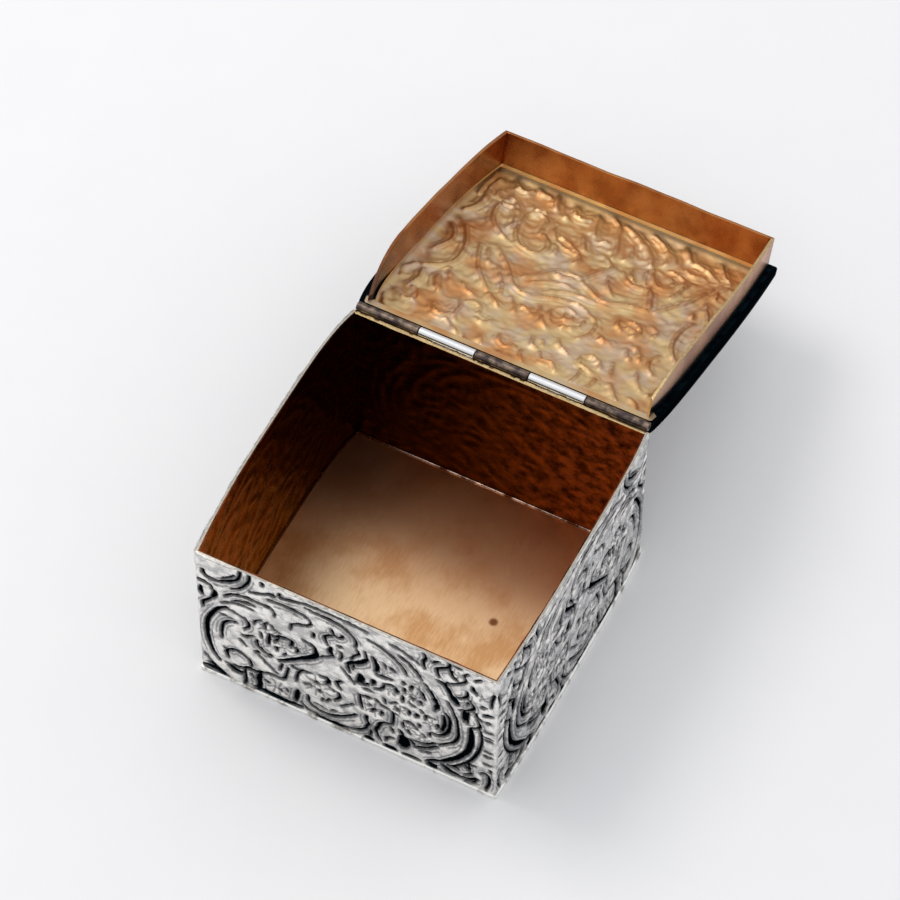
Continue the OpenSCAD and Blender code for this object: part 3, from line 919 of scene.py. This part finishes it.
def grown(name, mesh, tree, inputs):
    """The plain mesh that a geometry tree makes of a mesh, with its named inputs set."""
    seed_object = bpy.data.objects.new(name + "_seed", mesh)
    bpy.context.scene.collection.objects.link(seed_object)
    modifier = seed_object.modifiers.new("grow", "NODES")
    modifier.node_group = tree
    for item in tree.interface.items_tree:
        if item.in_out == "INPUT" and item.name in inputs:
            modifier[item.identifier] = inputs[item.name]
    graph = bpy.context.evaluated_depsgraph_get()
    made = bpy.data.meshes.new_from_object(seed_object.evaluated_get(graph))
    made.name = name
    bpy.data.objects.remove(seed_object)
    return made


run_line = at_height(rounded_plan(run_inset, run_corner_r), base_hi.z + run_lift) * MM
line_mesh = bpy.data.meshes.new("solder_line")
line_mesh.from_pydata(
    run_line.tolist(), [(i, (i + 1) % len(run_line)) for i in range(len(run_line))], [])
solder = grown("solder_fillet", line_mesh, solder_tree, {"Material": solder_silver})
set_up("solder_fillet", solder, "box", "gilt")

# The lid panel.
# One sheet struck in its own die: an upright edge, rounded shoulders and a pillow of scrolls.
# Blackened outside; inside the same forms show in reverse in bright satin gilding.
hinge_lo, hinge_hi = [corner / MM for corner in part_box("lid_knuckle_left")]
hinge_y = (hinge_lo.y + hinge_hi.y) / 2
hinge_z = (hinge_lo.z + hinge_hi.z) / 2
open_angle = math.radians(199)
lid_gap = 0.12
lid_z = rim_z + lid_gap
lid_edge_h = 1
lid_crown_h = 1
lid_crown_w = 1.6
lid_corner_tuck = 0.12


def laid_back(points):
    """Points drawn with the lid closed, turned about the hinge line to where it lies open."""
    x, y, z = np.moveaxis(np.asarray(points, float), -1, 0)
    y, z = y - hinge_y, z - hinge_z
    c, s = math.cos(open_angle), math.sin(open_angle)
    return np.stack([x, hinge_y + y * c + z * s, hinge_z - y * s + z * c], -1)


# Lines of the lid die, from the left corner at the hinge
far_left = [
    (0.9, (0.6, 37.2), (0.9, 35.5), (1, 33.4), (1.3, 31.4)),
    (1, (2.1, 36), (1.9, 34.2), (2.2, 32.2), (2.6, 30.4), (2.4, 28.8), (1.6, 27.2)),
    (0.5, (4.1, 32.2), (4.9, 31.3), (6.1, 31.3), (7, 30.3), (7.5, 28.6), (7.4, 27.2)),
    (0.6, (4.5, 31), (4.5, 29.8), (4.9, 28.3), (5.6, 26.9), (6.7, 25.8), (8.2, 24.7)),
    (0.5, (8.3, 31.4), (9, 32), (9.9, 31.9), (10.6, 31.2), (10.8, 29.8), (11, 28.4)),
    (0.8, (11.4, 28.3), (12.4, 27.4), (13, 26.1), (12.8, 24.8)),
    (0.5, (12.8, 24.6), (11.9, 24), (10.7, 24.2), (9.6, 24.9), (8.8, 26.1), (8.3, 27.7),
     (8.1, 29.4), (8.2, 31.2)),
    (0.4, (4.9, 33.4), (6, 32.4), (6.9, 31), (7.6, 29.6), (8, 28.3)),
    (0.8, (9.2, 37.2), (9.7, 35.7), (10.4, 34.3)),
    (0.8, (6.8, 37), (7.6, 36.3), (8.7, 36.2)),
    (0.8, (11.8, 33.9), (12.2, 33.3)),
    (0.5, (12.2, 36.4), (12.6, 35), (13.8, 34.4), (14.7, 35)),
    (0.4, (3.4, 33.8), (3.2, 32.8), (3.9, 31.9), (4.7, 32.3)),
    (0.5, (8, 33), (8.7, 32.5), (9.6, 32.7)),
    (0.4, (3.6, 37.2), (4.4, 35.6), (5.6, 35.2), (6.4, 36)),
]
shell_fan = [
    (0.7, (17, 37.2), (18.3, 35.8), (19, 33.6), (19.8, 31.4), (20.1, 29.4)),
    (1.1, (19, 36.6), (20.9, 35.3), (22.6, 33.9), (23.9, 32.4), (24.6, 30.8)),
    (0.7, (15.5, 31.1), (16, 29.9), (16.7, 28.6)),
    (0.4, (11.8, 31.6), (12.2, 29.8), (13.4, 28.2), (14.9, 27.3), (16.6, 27.2)),
    (0.3, (13.3, 29.3), (14.8, 28.6), (16.4, 27.6)),
    (0.35, (13.4, 27.4), (14, 26.4), (14.2, 25.4)),
    (0.35, (16.6, 27.2), (17.1, 26.2), (16.9, 25.4)),
    (0.4, (15.2, 36.4), (15.8, 34), (16.4, 32.2)),
    (0.35, (21.3, 33), (21.9, 31.2), (21.6, 29.8)),
    (0.3, (17.7, 31.6), (18.2, 31.9)),
]
leaf = [
    (0.5, (19.7, 28.8), (20.9, 27.4), (20.5, 26), (19.7, 24.6), (19.1, 23.2), (19.2, 22.3)),
    (0.55, (22.4, 27.5), (23, 26.6), (23.9, 25.8), (25, 25.5), (26.2, 25.9)),
    (0.35, (23.2, 28.6), (23.4, 27.3), (24, 26.5)),
    (0.35, (24.8, 29.6), (24.9, 28.1), (25.6, 26.8)),
    (0.6, (19.2, 22.2), (20.4, 21.5), (21.8, 20.6), (23.4, 20.3), (25, 21.1), (26.6, 21.6),
     (28, 21.9)),
    (0.8, (26.4, 26.2), (27, 25), (27.5, 23.6), (28, 22.2)),
    (0.35, (21.4, 25.2), (22, 23.4), (23.2, 22)),
    (0.5, (25.3, 30.2), (25.7, 28.8), (26.7, 27.4), (27.9, 27.2), (28.6, 28.2)),
    (0.45, (27.1, 31.4), (28.4, 31), (29.4, 30.3), (29.2, 29.2), (28.5, 27.7)),
    (0.3, (27.6, 29.9), (28.3, 29), (28.2, 28.1)),
    (1.6, (25.4, 34.6), (26.4, 33.4), (26.2, 32.2)),
    (1, (27, 37), (27.6, 35.8), (28.3, 34.8)),
    (0.8, (29, 34.6), (30.6, 34.3), (31.8, 33.6)),
    (0.5, (28.6, 32.6), (29.9, 32), (31, 32.6)),
    (0.6, (32.8, 31.2), (32.3, 29.6), (31.6, 27.4), (30.7, 25.4), (29.9, 24), (28.8, 22.2)),
    (0.35, (30.3, 30.6), (29.8, 29.4), (29.6, 27.8), (29.2, 26.2)),
]
ribbon = [
    (0.45, (13.2, 18.9), (14.4, 20), (15.3, 21.4), (16, 22.5), (17.2, 22.9), (18.6, 22.9)),
    (0.9, (15.9, 21.9), (16.8, 21.7), (18, 22.2)),
    (0.4, (18.8, 20.3), (17.2, 20.2), (15.8, 19.6), (14.4, 18.6)),
    (0.4, (23.3, 19.6), (21.4, 19.3), (19.4, 19.4), (17.6, 18.6), (16.4, 17.6)),
    (0.5, (8.2, 22.5), (9.5, 20.9), (11, 19.2), (12.2, 17.3), (13.4, 16.1), (15, 15.6),
     (16.6, 16.4), (18.4, 17.2), (20.4, 17.6), (22.2, 17.2)),
    (0.45, (22.3, 17), (23.6, 16), (24.2, 14.6), (24.1, 13), (23.5, 11.6)),
    (0.35, (19.2, 15.7), (20.2, 16.3), (21.3, 15.7)),
    (0.35, (18.5, 14.8), (18.6, 13.6), (19.2, 12.6)),
    (0.35, (20.2, 14.9), (20.4, 14), (21.2, 14.2), (21.2, 15)),
    (0.35, (18, 13.1), (18.4, 12), (19.4, 11.1)),
    (0.3, (22.6, 15.6), (22.7, 14), (22, 12.8), (20.8, 12.4)),
    (0.7, (25.2, 13.6), (26.2, 12.8), (27.2, 13.4)),
    (0.5, (26, 18), (26.1, 17), (26.9, 16.2)),
    (0.45, (27.2, 18.6), (28.4, 18.2), (29, 17.2), (28.6, 16)),
    (0.4, (27.4, 17), (28.5, 17.1)),
    (0.4, (29.1, 13.2), (29.4, 12.2), (30, 11.4)),
    (0.35, (29.6, 14.2), (30.6, 13.2), (31.2, 11.9)),
    (0.3, (29.8, 19.3), (30.8, 18.3), (30.6, 17.3)),
]
left_sprays = [
    (0.6, (2.2, 25), (3.4, 23.9), (4.3, 22.2), (5, 20.4), (5.4, 18.2), (5.2, 16.2), (4.2, 14.7),
     (2.6, 13.6)),
    (0.6, (1.8, 23.4), (2.8, 22), (3.2, 20.4), (2.8, 18.8), (2.2, 17.4)),
    (0.5, (6.3, 21.8), (7, 19.6), (8, 17.2), (9.4, 15.2), (10.8, 13.6)),
    (0.35, (7.5, 21.4), (8.2, 19.6), (8.8, 18.6)),
    (0.4, (9.8, 18.9), (10.8, 17.2), (11.8, 15.6), (12.4, 13.8)),
    (0.35, (5.3, 14.8), (5.9, 13.8), (6.6, 12.4)),
    (1.1, (5, 12.6), (5.5, 11.2), (6.2, 9.8)),
    (0.4, (3, 12.4), (3.3, 10.6), (2.9, 8.6)),
    (0.35, (1.7, 13), (1, 11.4), (1.4, 9.8)),
    (0.35, (3.3, 8.6), (4.3, 8.2), (4.9, 7.2)),
    (0.5, (9, 9.6), (9.7, 8.4), (9.7, 6.9), (10.2, 5.6)),
    (0.4, (9.9, 9.9), (10.8, 10.3), (11.7, 9.7), (11.9, 8.4)),
    (0.4, (12.1, 7.6), (12.6, 7.2), (13.3, 7.4), (13.8, 8.2)),
    (0.5, (6.9, 7), (7.4, 5.8), (8.6, 5.6), (9.4, 6.4)),
    (0.45, (11.2, 13.2), (12.2, 12.2), (13.2, 11.3)),
    (0.3, (8, 13), (8.8, 12), (9.8, 11.6)),
    (0.35, (9.1, 5.3), (10.3, 4.3), (11.4, 3.3)),
    (0.35, (12.2, 3.6), (12.7, 2.6), (13.2, 1.8)),
    (0.3, (13.9, 4.6), (14.6, 3.2)),
    (0.35, (1.2, 5.2), (1.7, 3.6), (2.4, 2.2)),
    (0.35, (2, 6.6), (3.4, 5.9), (4.6, 6.2)),
    (0.3, (13.6, 14.2), (14.6, 12.8), (15.2, 11.6)),
    (0.3, (15.4, 13.3), (16.2, 12.8), (16.6, 13.6)),
    (0.35, (17.2, 14.6), (17.5, 13.2), (17.2, 12.2)),
]
hinge_sprays = [
    (0.4, (15.6, 6.4), (16, 5.2), (17, 4.6), (18.1, 5.2)),
    (0.35, (16.8, 3.2), (17.4, 2.5), (18.2, 3.1)),
    (0.45, (18.9, 5.2), (19.1, 4.2), (19.8, 3.2)),
    (0.5, (19, 8.4), (19.4, 7), (20.2, 6.6)),
    (0.3, (20.2, 8.5), (20.6, 7.6)),
    (0.4, (20.8, 6.2), (21.6, 5), (23, 4.9), (23.9, 3.8)),
    (0.4, (25.2, 8.3), (25.5, 7.2), (26.4, 6.6), (27.3, 6.4)),
    (0.35, (25.3, 8.7), (26.3, 9.2), (27.3, 8.8), (28, 7.6)),
    (0.45, (26.2, 5.9), (26.4, 4.6), (26.2, 3)),
    (0.45, (28.3, 5.4), (28.4, 4.2), (28.1, 3)),
    (0.3, (28.8, 9.6), (29.1, 8.6), (29.5, 6.8)),
    (0.3, (30.2, 5.6), (31.2, 4.2), (32.2, 3)),
    (0.6, (32.6, 24.9), (32.9, 24)),
    (0.55, (33.4, 23), (32.9, 21.2), (32.8, 19.2), (33.1, 17.2), (33.8, 15.6), (35, 14.2)),
    (0.5, (33.2, 27.6), (34, 26), (34.9, 24), (35.3, 21.6), (35.4, 19.4)),
    (0.4, (32.6, 14.4), (32.1, 13), (32.5, 11.4), (33.4, 10.4)),
    (0.35, (35.3, 9.6), (35.2, 8), (34.6, 6.4)),
    (0.3, (31.8, 9.8), (32.4, 8.2), (33.4, 6.8)),
    (0.35, (33.2, 4.6), (34.2, 3.8), (35, 2.6)),
    (0.3, (21.6, 10), (22.4, 8.6), (23.8, 7.8)),
    (0.4, (32, 36.4), (33, 34.6), (34, 33.8)),
    (0.35, (34.4, 32.4), (33.6, 31), (33.8, 29.4)),
    (0.4, (22.6, 37), (24.2, 36), (25.2, 34.9)),
]
lid_flowers = [
    (21, 14, 2.2, 10), (27.6, 17.3, 1.3, 6), (26.3, 13.2, 1.2, 6), (26.2, 8, 1.2, 6),
    (10.8, 9, 1, 6), (13.2, 8.2, 0.9, 5), (8.2, 7, 1.4, 7), (17.1, 6.1, 1.1, 6),
    (22.6, 6.2, 1.1, 6), (4.1, 6.4, 1.1, 6), (29.2, 5.6, 1, 6), (16, 13, 1.1, 6),
    (13.4, 35.6, 1.2, 6), (5.2, 35.6, 1.2, 6), (33.2, 32.8, 1.2, 6), (30.2, 12.6, 1.1, 6),
]
lid_die = far_left + shell_fan + leaf + ribbon + left_sprays + hinge_sprays

lid_cell = 0.176
lid_relief = 0.95
lid_frame_w = 2.2
lid_unevenness = 0.045
lid_black_edge = (0.2, 1.2)
lid_side = np.linspace(-1, 1, round(2 * half / lid_cell) + 1)
lid_across, lid_along = np.meshgrid(lid_side, lid_side)
die_line = (lid_side + 1) * half
lid_height, lid_hollow = struck(lid_die, petal_lines(lid_flowers) + doubled(lid_die),
                                die_line, die_line, lid_frame_w, lid_unevenness)
lid_height, lid_hollow = lid_relief * lid_height[::-1], lid_hollow[::-1]

# The upright edge and the start of the shoulders are black all round, with tarnish and partly
# with painted shade
edge_band = (1 - np.maximum(np.abs(lid_across), np.abs(lid_along))) * half
lid_hollow = np.maximum(lid_hollow, 1 - smooth_step(edge_band, *lid_black_edge))


def lid_face(inset, top, raised):
    """The points of one face of the lid, drawn closed: a pillow with relief on it."""
    reach = half - inset
    y = lid_along * reach
    bow = np.where(lid_across < 0, left_bow, right_bow) * bulge(y, reach)
    x = lid_across * (reach + bow)
    corner = (np.abs(lid_across) == 1) & (np.abs(lid_along) == 1)
    tuck = np.where(corner, 1 - lid_corner_tuck / reach, 1)
    never_zero = 1e-6
    dx = (1 - np.abs(lid_across)) * reach + never_zero
    dy = (1 - np.abs(lid_along)) * reach + never_zero
    inward = np.minimum(dx * dy / (dx**3 + dy**3) ** (1 / 3), lid_crown_w)
    crown = lid_crown_h * np.sqrt(1 - (1 - inward / lid_crown_w) ** 2)
    return np.stack([x * tuck, y * tuck, lid_z + top + crown + raised], -1)


# Bright satin gilding over a struck relief: pale gold on the open forms, greyer where the silver
# shows through, copper orange on the relief lines and edge: tarnish and partly painted shade
lid_gilding, tree, shader, place = new_material("bright_satin_gilding")
hollow = add_node(tree, "ShaderNodeAttribute", attribute_name="hollow")
paled, _ = patchy(tree, place, 4, (0.44, 0.6), ("#DFC290", "#DAC1A4"),
                  {"Detail": 3, "Distortion": 0.8})
gold, _ = patchy(tree, place, 5, (0.42, 0.66), (paled, "#D49A64"), {"Detail": 4})
# Partly painted shade: copper orange along the relief lines and round the edge
line_tarnish_and_shade = add_node(tree, "ShaderNodeMapRange",
                {"Value": hollow.outputs["Fac"], "From Min": 0.2, "To Max": 0.45})
copper = add_node(tree, "ShaderNodeMix", {0: line_tarnish_and_shade, 6: gold, 7: "#A8642C"}, data_type="RGBA")
# Painted highlight: paler gold towards the far end of the open lid, by the front bezel
far_end = fading(tree, place, "Y", 44, 54, high=0.45)
far_end_painted_highlight = add_node(tree, "ShaderNodeMix", {0: far_end, 6: copper, 7: "#FFE0A8"},
                 data_type="RGBA")
_, finish, pitting = grained(tree, place, 0.3, (0.42, 0.58), 0.5, 0.02)
feed(shader, {"Base Color": far_end_painted_highlight, "Metallic": 1, "Roughness": finish, "Normal": pitting})

lid_faces = [lid_face(0, lid_edge_h, lid_height), lid_face(sheet, lid_edge_h - sheet, lid_height)]
edge_rings = []
for face in lid_faces:
    ring = face.reshape(-1, 3)[border(*lid_across.shape)]
    ring[:, 2] = lid_z
    edge_rings.append(laid_back(ring))
lid_mesh = closed_sheet(
    "lid_panel_struck", *[laid_back(face) for face in lid_faces],
    (blackened_silver, lid_gilding), edge_rings, (0, 0, 1), {"hollow": lid_hollow})
set_up("lid_panel_struck", lid_mesh, "lid", "relief_silver", "lid_panel")

# The lid rim.
# A flat frame of sheet soldered inside the lid's edge. It carries the bezel. Outside the bezel
# it shows as a ledge, black with tarnish and partly with painted shade; inside, a fillet of gilt
# solder meets the panel.
bezel_inset = 0.97
bezel_t = 0.4
rim_inner = bezel_inset + bezel_t
rim_corner_r = 0.3
rim_gilt_gap = 0.1
fillet_w = 0.3
fillet_h = 0.75

# Black tarnished silver; on the lid's ledge the black is partly painted shade
tarnished, tree, shader, place = new_material("black_tarnished_silver")
dark, patches = patchy(tree, place, 1.2, (0.38, 0.68), ("#08151C", "#1E2E36"), {"Detail": 5})
finish = add_node(tree, "ShaderNodeMapRange", {"Value": patches, "To Min": 0.5, "To Max": 0.3})
feed(shader, {"Base Color": dark, "Specular Tint": "#30424C", "Metallic": 0.95,
              "Roughness": finish})

rim_section = [(sheet, 0), (sheet, sheet), (rim_inner - fillet_w, fillet_h),
               (rim_inner, sheet), (rim_inner, 0), (bezel_inset, 0)]
rim_loops = [laid_back(at_height(rounded_plan(inset, rim_corner_r), lid_z + level))
             for inset, level in rim_section]
rim_mesh = lofted(
    "lid_rim_frame", rim_loops, (tarnished, lid_gilding), [0, 0, 1, 1, 0, 0], ring=True)

# There is no bezel along the hinge, so the ledge there is gilt like the inside
gilt_from_y = laid_back([0, half - rim_inner - rim_gilt_gap, lid_z])[1] * MM
for face in rim_mesh.polygons:
    if face.center.y < gilt_from_y:
        face.material_index = 1
set_up("lid_rim_frame", rim_mesh, "lid", "tarnished_silver", "lid_rim")

# The bezel.
# Three strips of gilt sheet soldered upright on the rim, which slide inside the walls when the
# lid shuts. Cut and bent by hand, so their free edge wavers a little; gone coppery with wear.
bezel_h = 4.6
bezel_taper_l = {"left": 8.5, "right": 5.5}
bezel_taper_h = {"left": 4, "right": 2.2}
bezel_taper_curve = 1.6
bezel_splay = {"left": 0.25, "right": 0}
bezel_splay_from_y = 8
bezel_sunk = 0.05
bezel_rows = 10
bezel_cols = 90
bezel_edge = 0.07

bezel_gilding, tree, shader, place = new_material("coppery_gilding")
copper, _ = patchy(tree, place, 4, (0.38, 0.66), ("#B97D4D", "#9A5E34"), {"Detail": 4})
# Darker towards the hinge end of each strip
at_hinge = fading(tree, place, "Y", 22.5, 31, 0.92, 0)
hinge_end_tone = add_node(tree, "ShaderNodeMix", {0: at_hinge, 6: copper, 7: "#3A2A26"},
                  name="hinge_end_tone", data_type="RGBA")
lines = add_node(tree, "ShaderNodeTexNoise",
                 {"Vector": place, "Scale": 1 / (0.3 * MM), "Detail": 2})
finish = add_node(tree, "ShaderNodeMapRange", {"Value": lines, "To Min": 0.22, "To Max": 0.36})
feed(shader, {"Base Color": hinge_end_tone, "Metallic": 1, "Roughness": finish})

# Outside, the strip is paler towards the hinge, and black creeps up from the rim: tarnish, and
# painted shade in the corner by the ledge
bezel_outside = bezel_gilding.copy()
bezel_outside.name = "outside_gilding_black_at_the_foot"
tree = bezel_outside.node_tree
hinge_end_tone = tree.nodes["hinge_end_tone"]
feed(hinge_end_tone, {7: "#C8A080"})
rim_normal = laid_back([0, 0, -1]) - laid_back([0, 0, 0])
rim_level = float(rim_normal @ laid_back([0, 0, lid_z])) * MM
place = add_node(tree, "ShaderNodeTexCoord").outputs["Object"]
above_rim = add_node(tree, "ShaderNodeVectorMath", {0: place, 1: rim_normal},
                     operation="DOT_PRODUCT")
# Partly painted shade: black over the strip's lowest 1.1 to 1.7 mm, beside the ledge
foot_tarnish_and_shade = add_node(tree, "ShaderNodeMapRange",
                     {"Value": above_rim, "From Min": rim_level + 1.1 * MM,
                      "From Max": rim_level + 1.7 * MM, "To Min": 1, "To Max": 0},
                     interpolation_type="SMOOTHSTEP")
foot = add_node(tree, "ShaderNodeMix", {0: foot_tarnish_and_shade, 6: hinge_end_tone, 7: "#0E171B"},
                data_type="RGBA")
feed(tree.nodes["Principled BSDF"], {"Base Color": foot})


def bezel_face(side, inset):
    """The points of one face of a bezel strip, drawn closed, from its free edge to the rim."""
    reach = half - inset
    t = np.linspace(-1, 1, bezel_cols + 1)
    level = np.linspace(1, 0, bezel_rows + 1)[:, None]
    waver = (0.05 * np.sin(7 * t + 1) + 0.03 * np.sin(17 * t + 2)) * (1 - t**2)
    lean = 0.04 * np.sin(5 * t) * (1 - t**2) * level
    if side == "front":
        low = lid_z - (bezel_h - bezel_sunk + waver) * level
        return np.stack(np.broadcast_arrays(t * reach, -reach - lean, low), -1)
    way, bow = (-1, left_bow) if side == "left" else (1, right_bow)
    y = -way * t * reach
    splay = bezel_splay[side] * smooth_step(y, bezel_splay_from_y, reach)
    x = way * (reach + splay + bow * bulge(y, reach) + lean)
    taper = bezel_taper_l[side]
    run = np.clip((y - (half - bezel_inset - taper)) / taper, 0, 1)
    depth = bezel_h - bezel_taper_h[side] * run**bezel_taper_curve
    low = lid_z - (depth - bezel_sunk + waver) * level
    return np.stack(np.broadcast_arrays(x, y, low), -1)[:, ::-1]


for side in ("front", "left", "right"):
    node = "lid_bezel_" + side
    mesh = closed_sheet(
        node + "_strip", laid_back(bezel_face(side, bezel_inset)),
        laid_back(bezel_face(side, rim_inner)),
        (bezel_outside, bezel_gilding, gilt_edge if side == "right" else bezel_gilding))
    strip = set_up(node + "_strip", mesh, "lid", "copper_gilt", node)
    rounding = strip.modifiers.new("rounded_edges", "BEVEL")
    rounding.width = bezel_edge * MM
    rounding.segments = 2
    rounding.limit_method = "ANGLE"
    rounding.angle_limit = math.radians(50)

# The hinge.
# Five lengths of drawn silver tube on one wire pin, three soldered to the box and two to the
# lid. The lid's two are polished bright with fine draw lines; the box's three are tarnished.
tube_bore = 0.28
tube_bevel = 0.06
bore_bevel = 0.03
tube_sides = 40
pin_r = 0.25

polished_tube, tree, shader, place = new_material("polished_drawn_silver")
drawn = add_node(tree, "ShaderNodeMapping", {"Vector": place, "Scale": (0.04, 1, 1)})
lines, finish, drawing = grained(tree, drawn, 0.12, (0.12, 0.3), 0.3, 0.01)
streak = add_node(tree, "ShaderNodeMix", {0: lines, 6: "#D8D8DC", 7: "#FFFFFF"},
                  data_type="RGBA")
feed(shader, {"Base Color": streak, "Metallic": 1, "Roughness": finish, "Normal": drawing})

# Drawn silver tube left to tarnish: brown-grey, rubbed paler in patches
brown_tube, tree, shader, place = new_material("browned_drawn_silver")
brown, _ = patchy(tree, place, 1.1, (0.36, 0.66), ("#4A4040", "#8E7C6C"), {"Detail": 5})
feed(shader, {"Base Color": brown, "Metallic": 1, "Roughness": 0.35})


def turned(name, profile, hollow_tube, material):
    """A mesh turned about the hinge line from (x, radius) points, outside first, in mm."""
    angle = np.linspace(0, 2 * math.pi, tube_sides, endpoint=False)
    loops = [np.stack([np.full(tube_sides, x), hinge_y + r * np.cos(angle),
                       hinge_z + r * np.sin(angle)], -1) for x, r in profile]
    return lofted(name, loops, (material,), ring=hollow_tube)


for node in ("body_knuckle_left", "body_knuckle_centre", "body_knuckle_right",
             "lid_knuckle_left", "lid_knuckle_right"):
    lo, hi = [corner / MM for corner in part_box(node)]
    tube_r = (hi.z - lo.z) / 2
    on_lid = node.startswith("lid")
    profile = [(lo.x, tube_r - tube_bevel), (lo.x + tube_bevel, tube_r),
               (hi.x - tube_bevel, tube_r), (hi.x, tube_r - tube_bevel),
               (hi.x, tube_bore + bore_bevel), (hi.x - bore_bevel, tube_bore),
               (lo.x + bore_bevel, tube_bore), (lo.x, tube_bore + bore_bevel)]
    mesh = turned(node + "_tube", profile, True, polished_tube if on_lid else brown_tube)
    set_up(node + "_tube", mesh, "lid" if on_lid else "box",
           "polished_silver" if on_lid else "tarnished_silver", node)

# The pin's ends are filed round
pin_lo, pin_hi = [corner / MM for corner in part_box("hinge_pin")]
pin_end = [(0, 0.12), (0.03, 0.2), (0.09, pin_r)]
pin_profile = ([(pin_lo.x + along, r) for along, r in pin_end]
               + [(pin_hi.x - along, r) for along, r in reversed(pin_end)])
set_up("hinge_pin_wire", turned("hinge_pin_wire", pin_profile, False, tarnished),
       "box", "tarnished_silver", "hinge_pin")

# The two bearers have their true shape in the CAD. They keep it, in the real finish
for node in ("body_hinge_bearer", "lid_hinge_bearer"):
    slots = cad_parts[node].data.materials
    slots.clear()
    slots.append(tarnished)
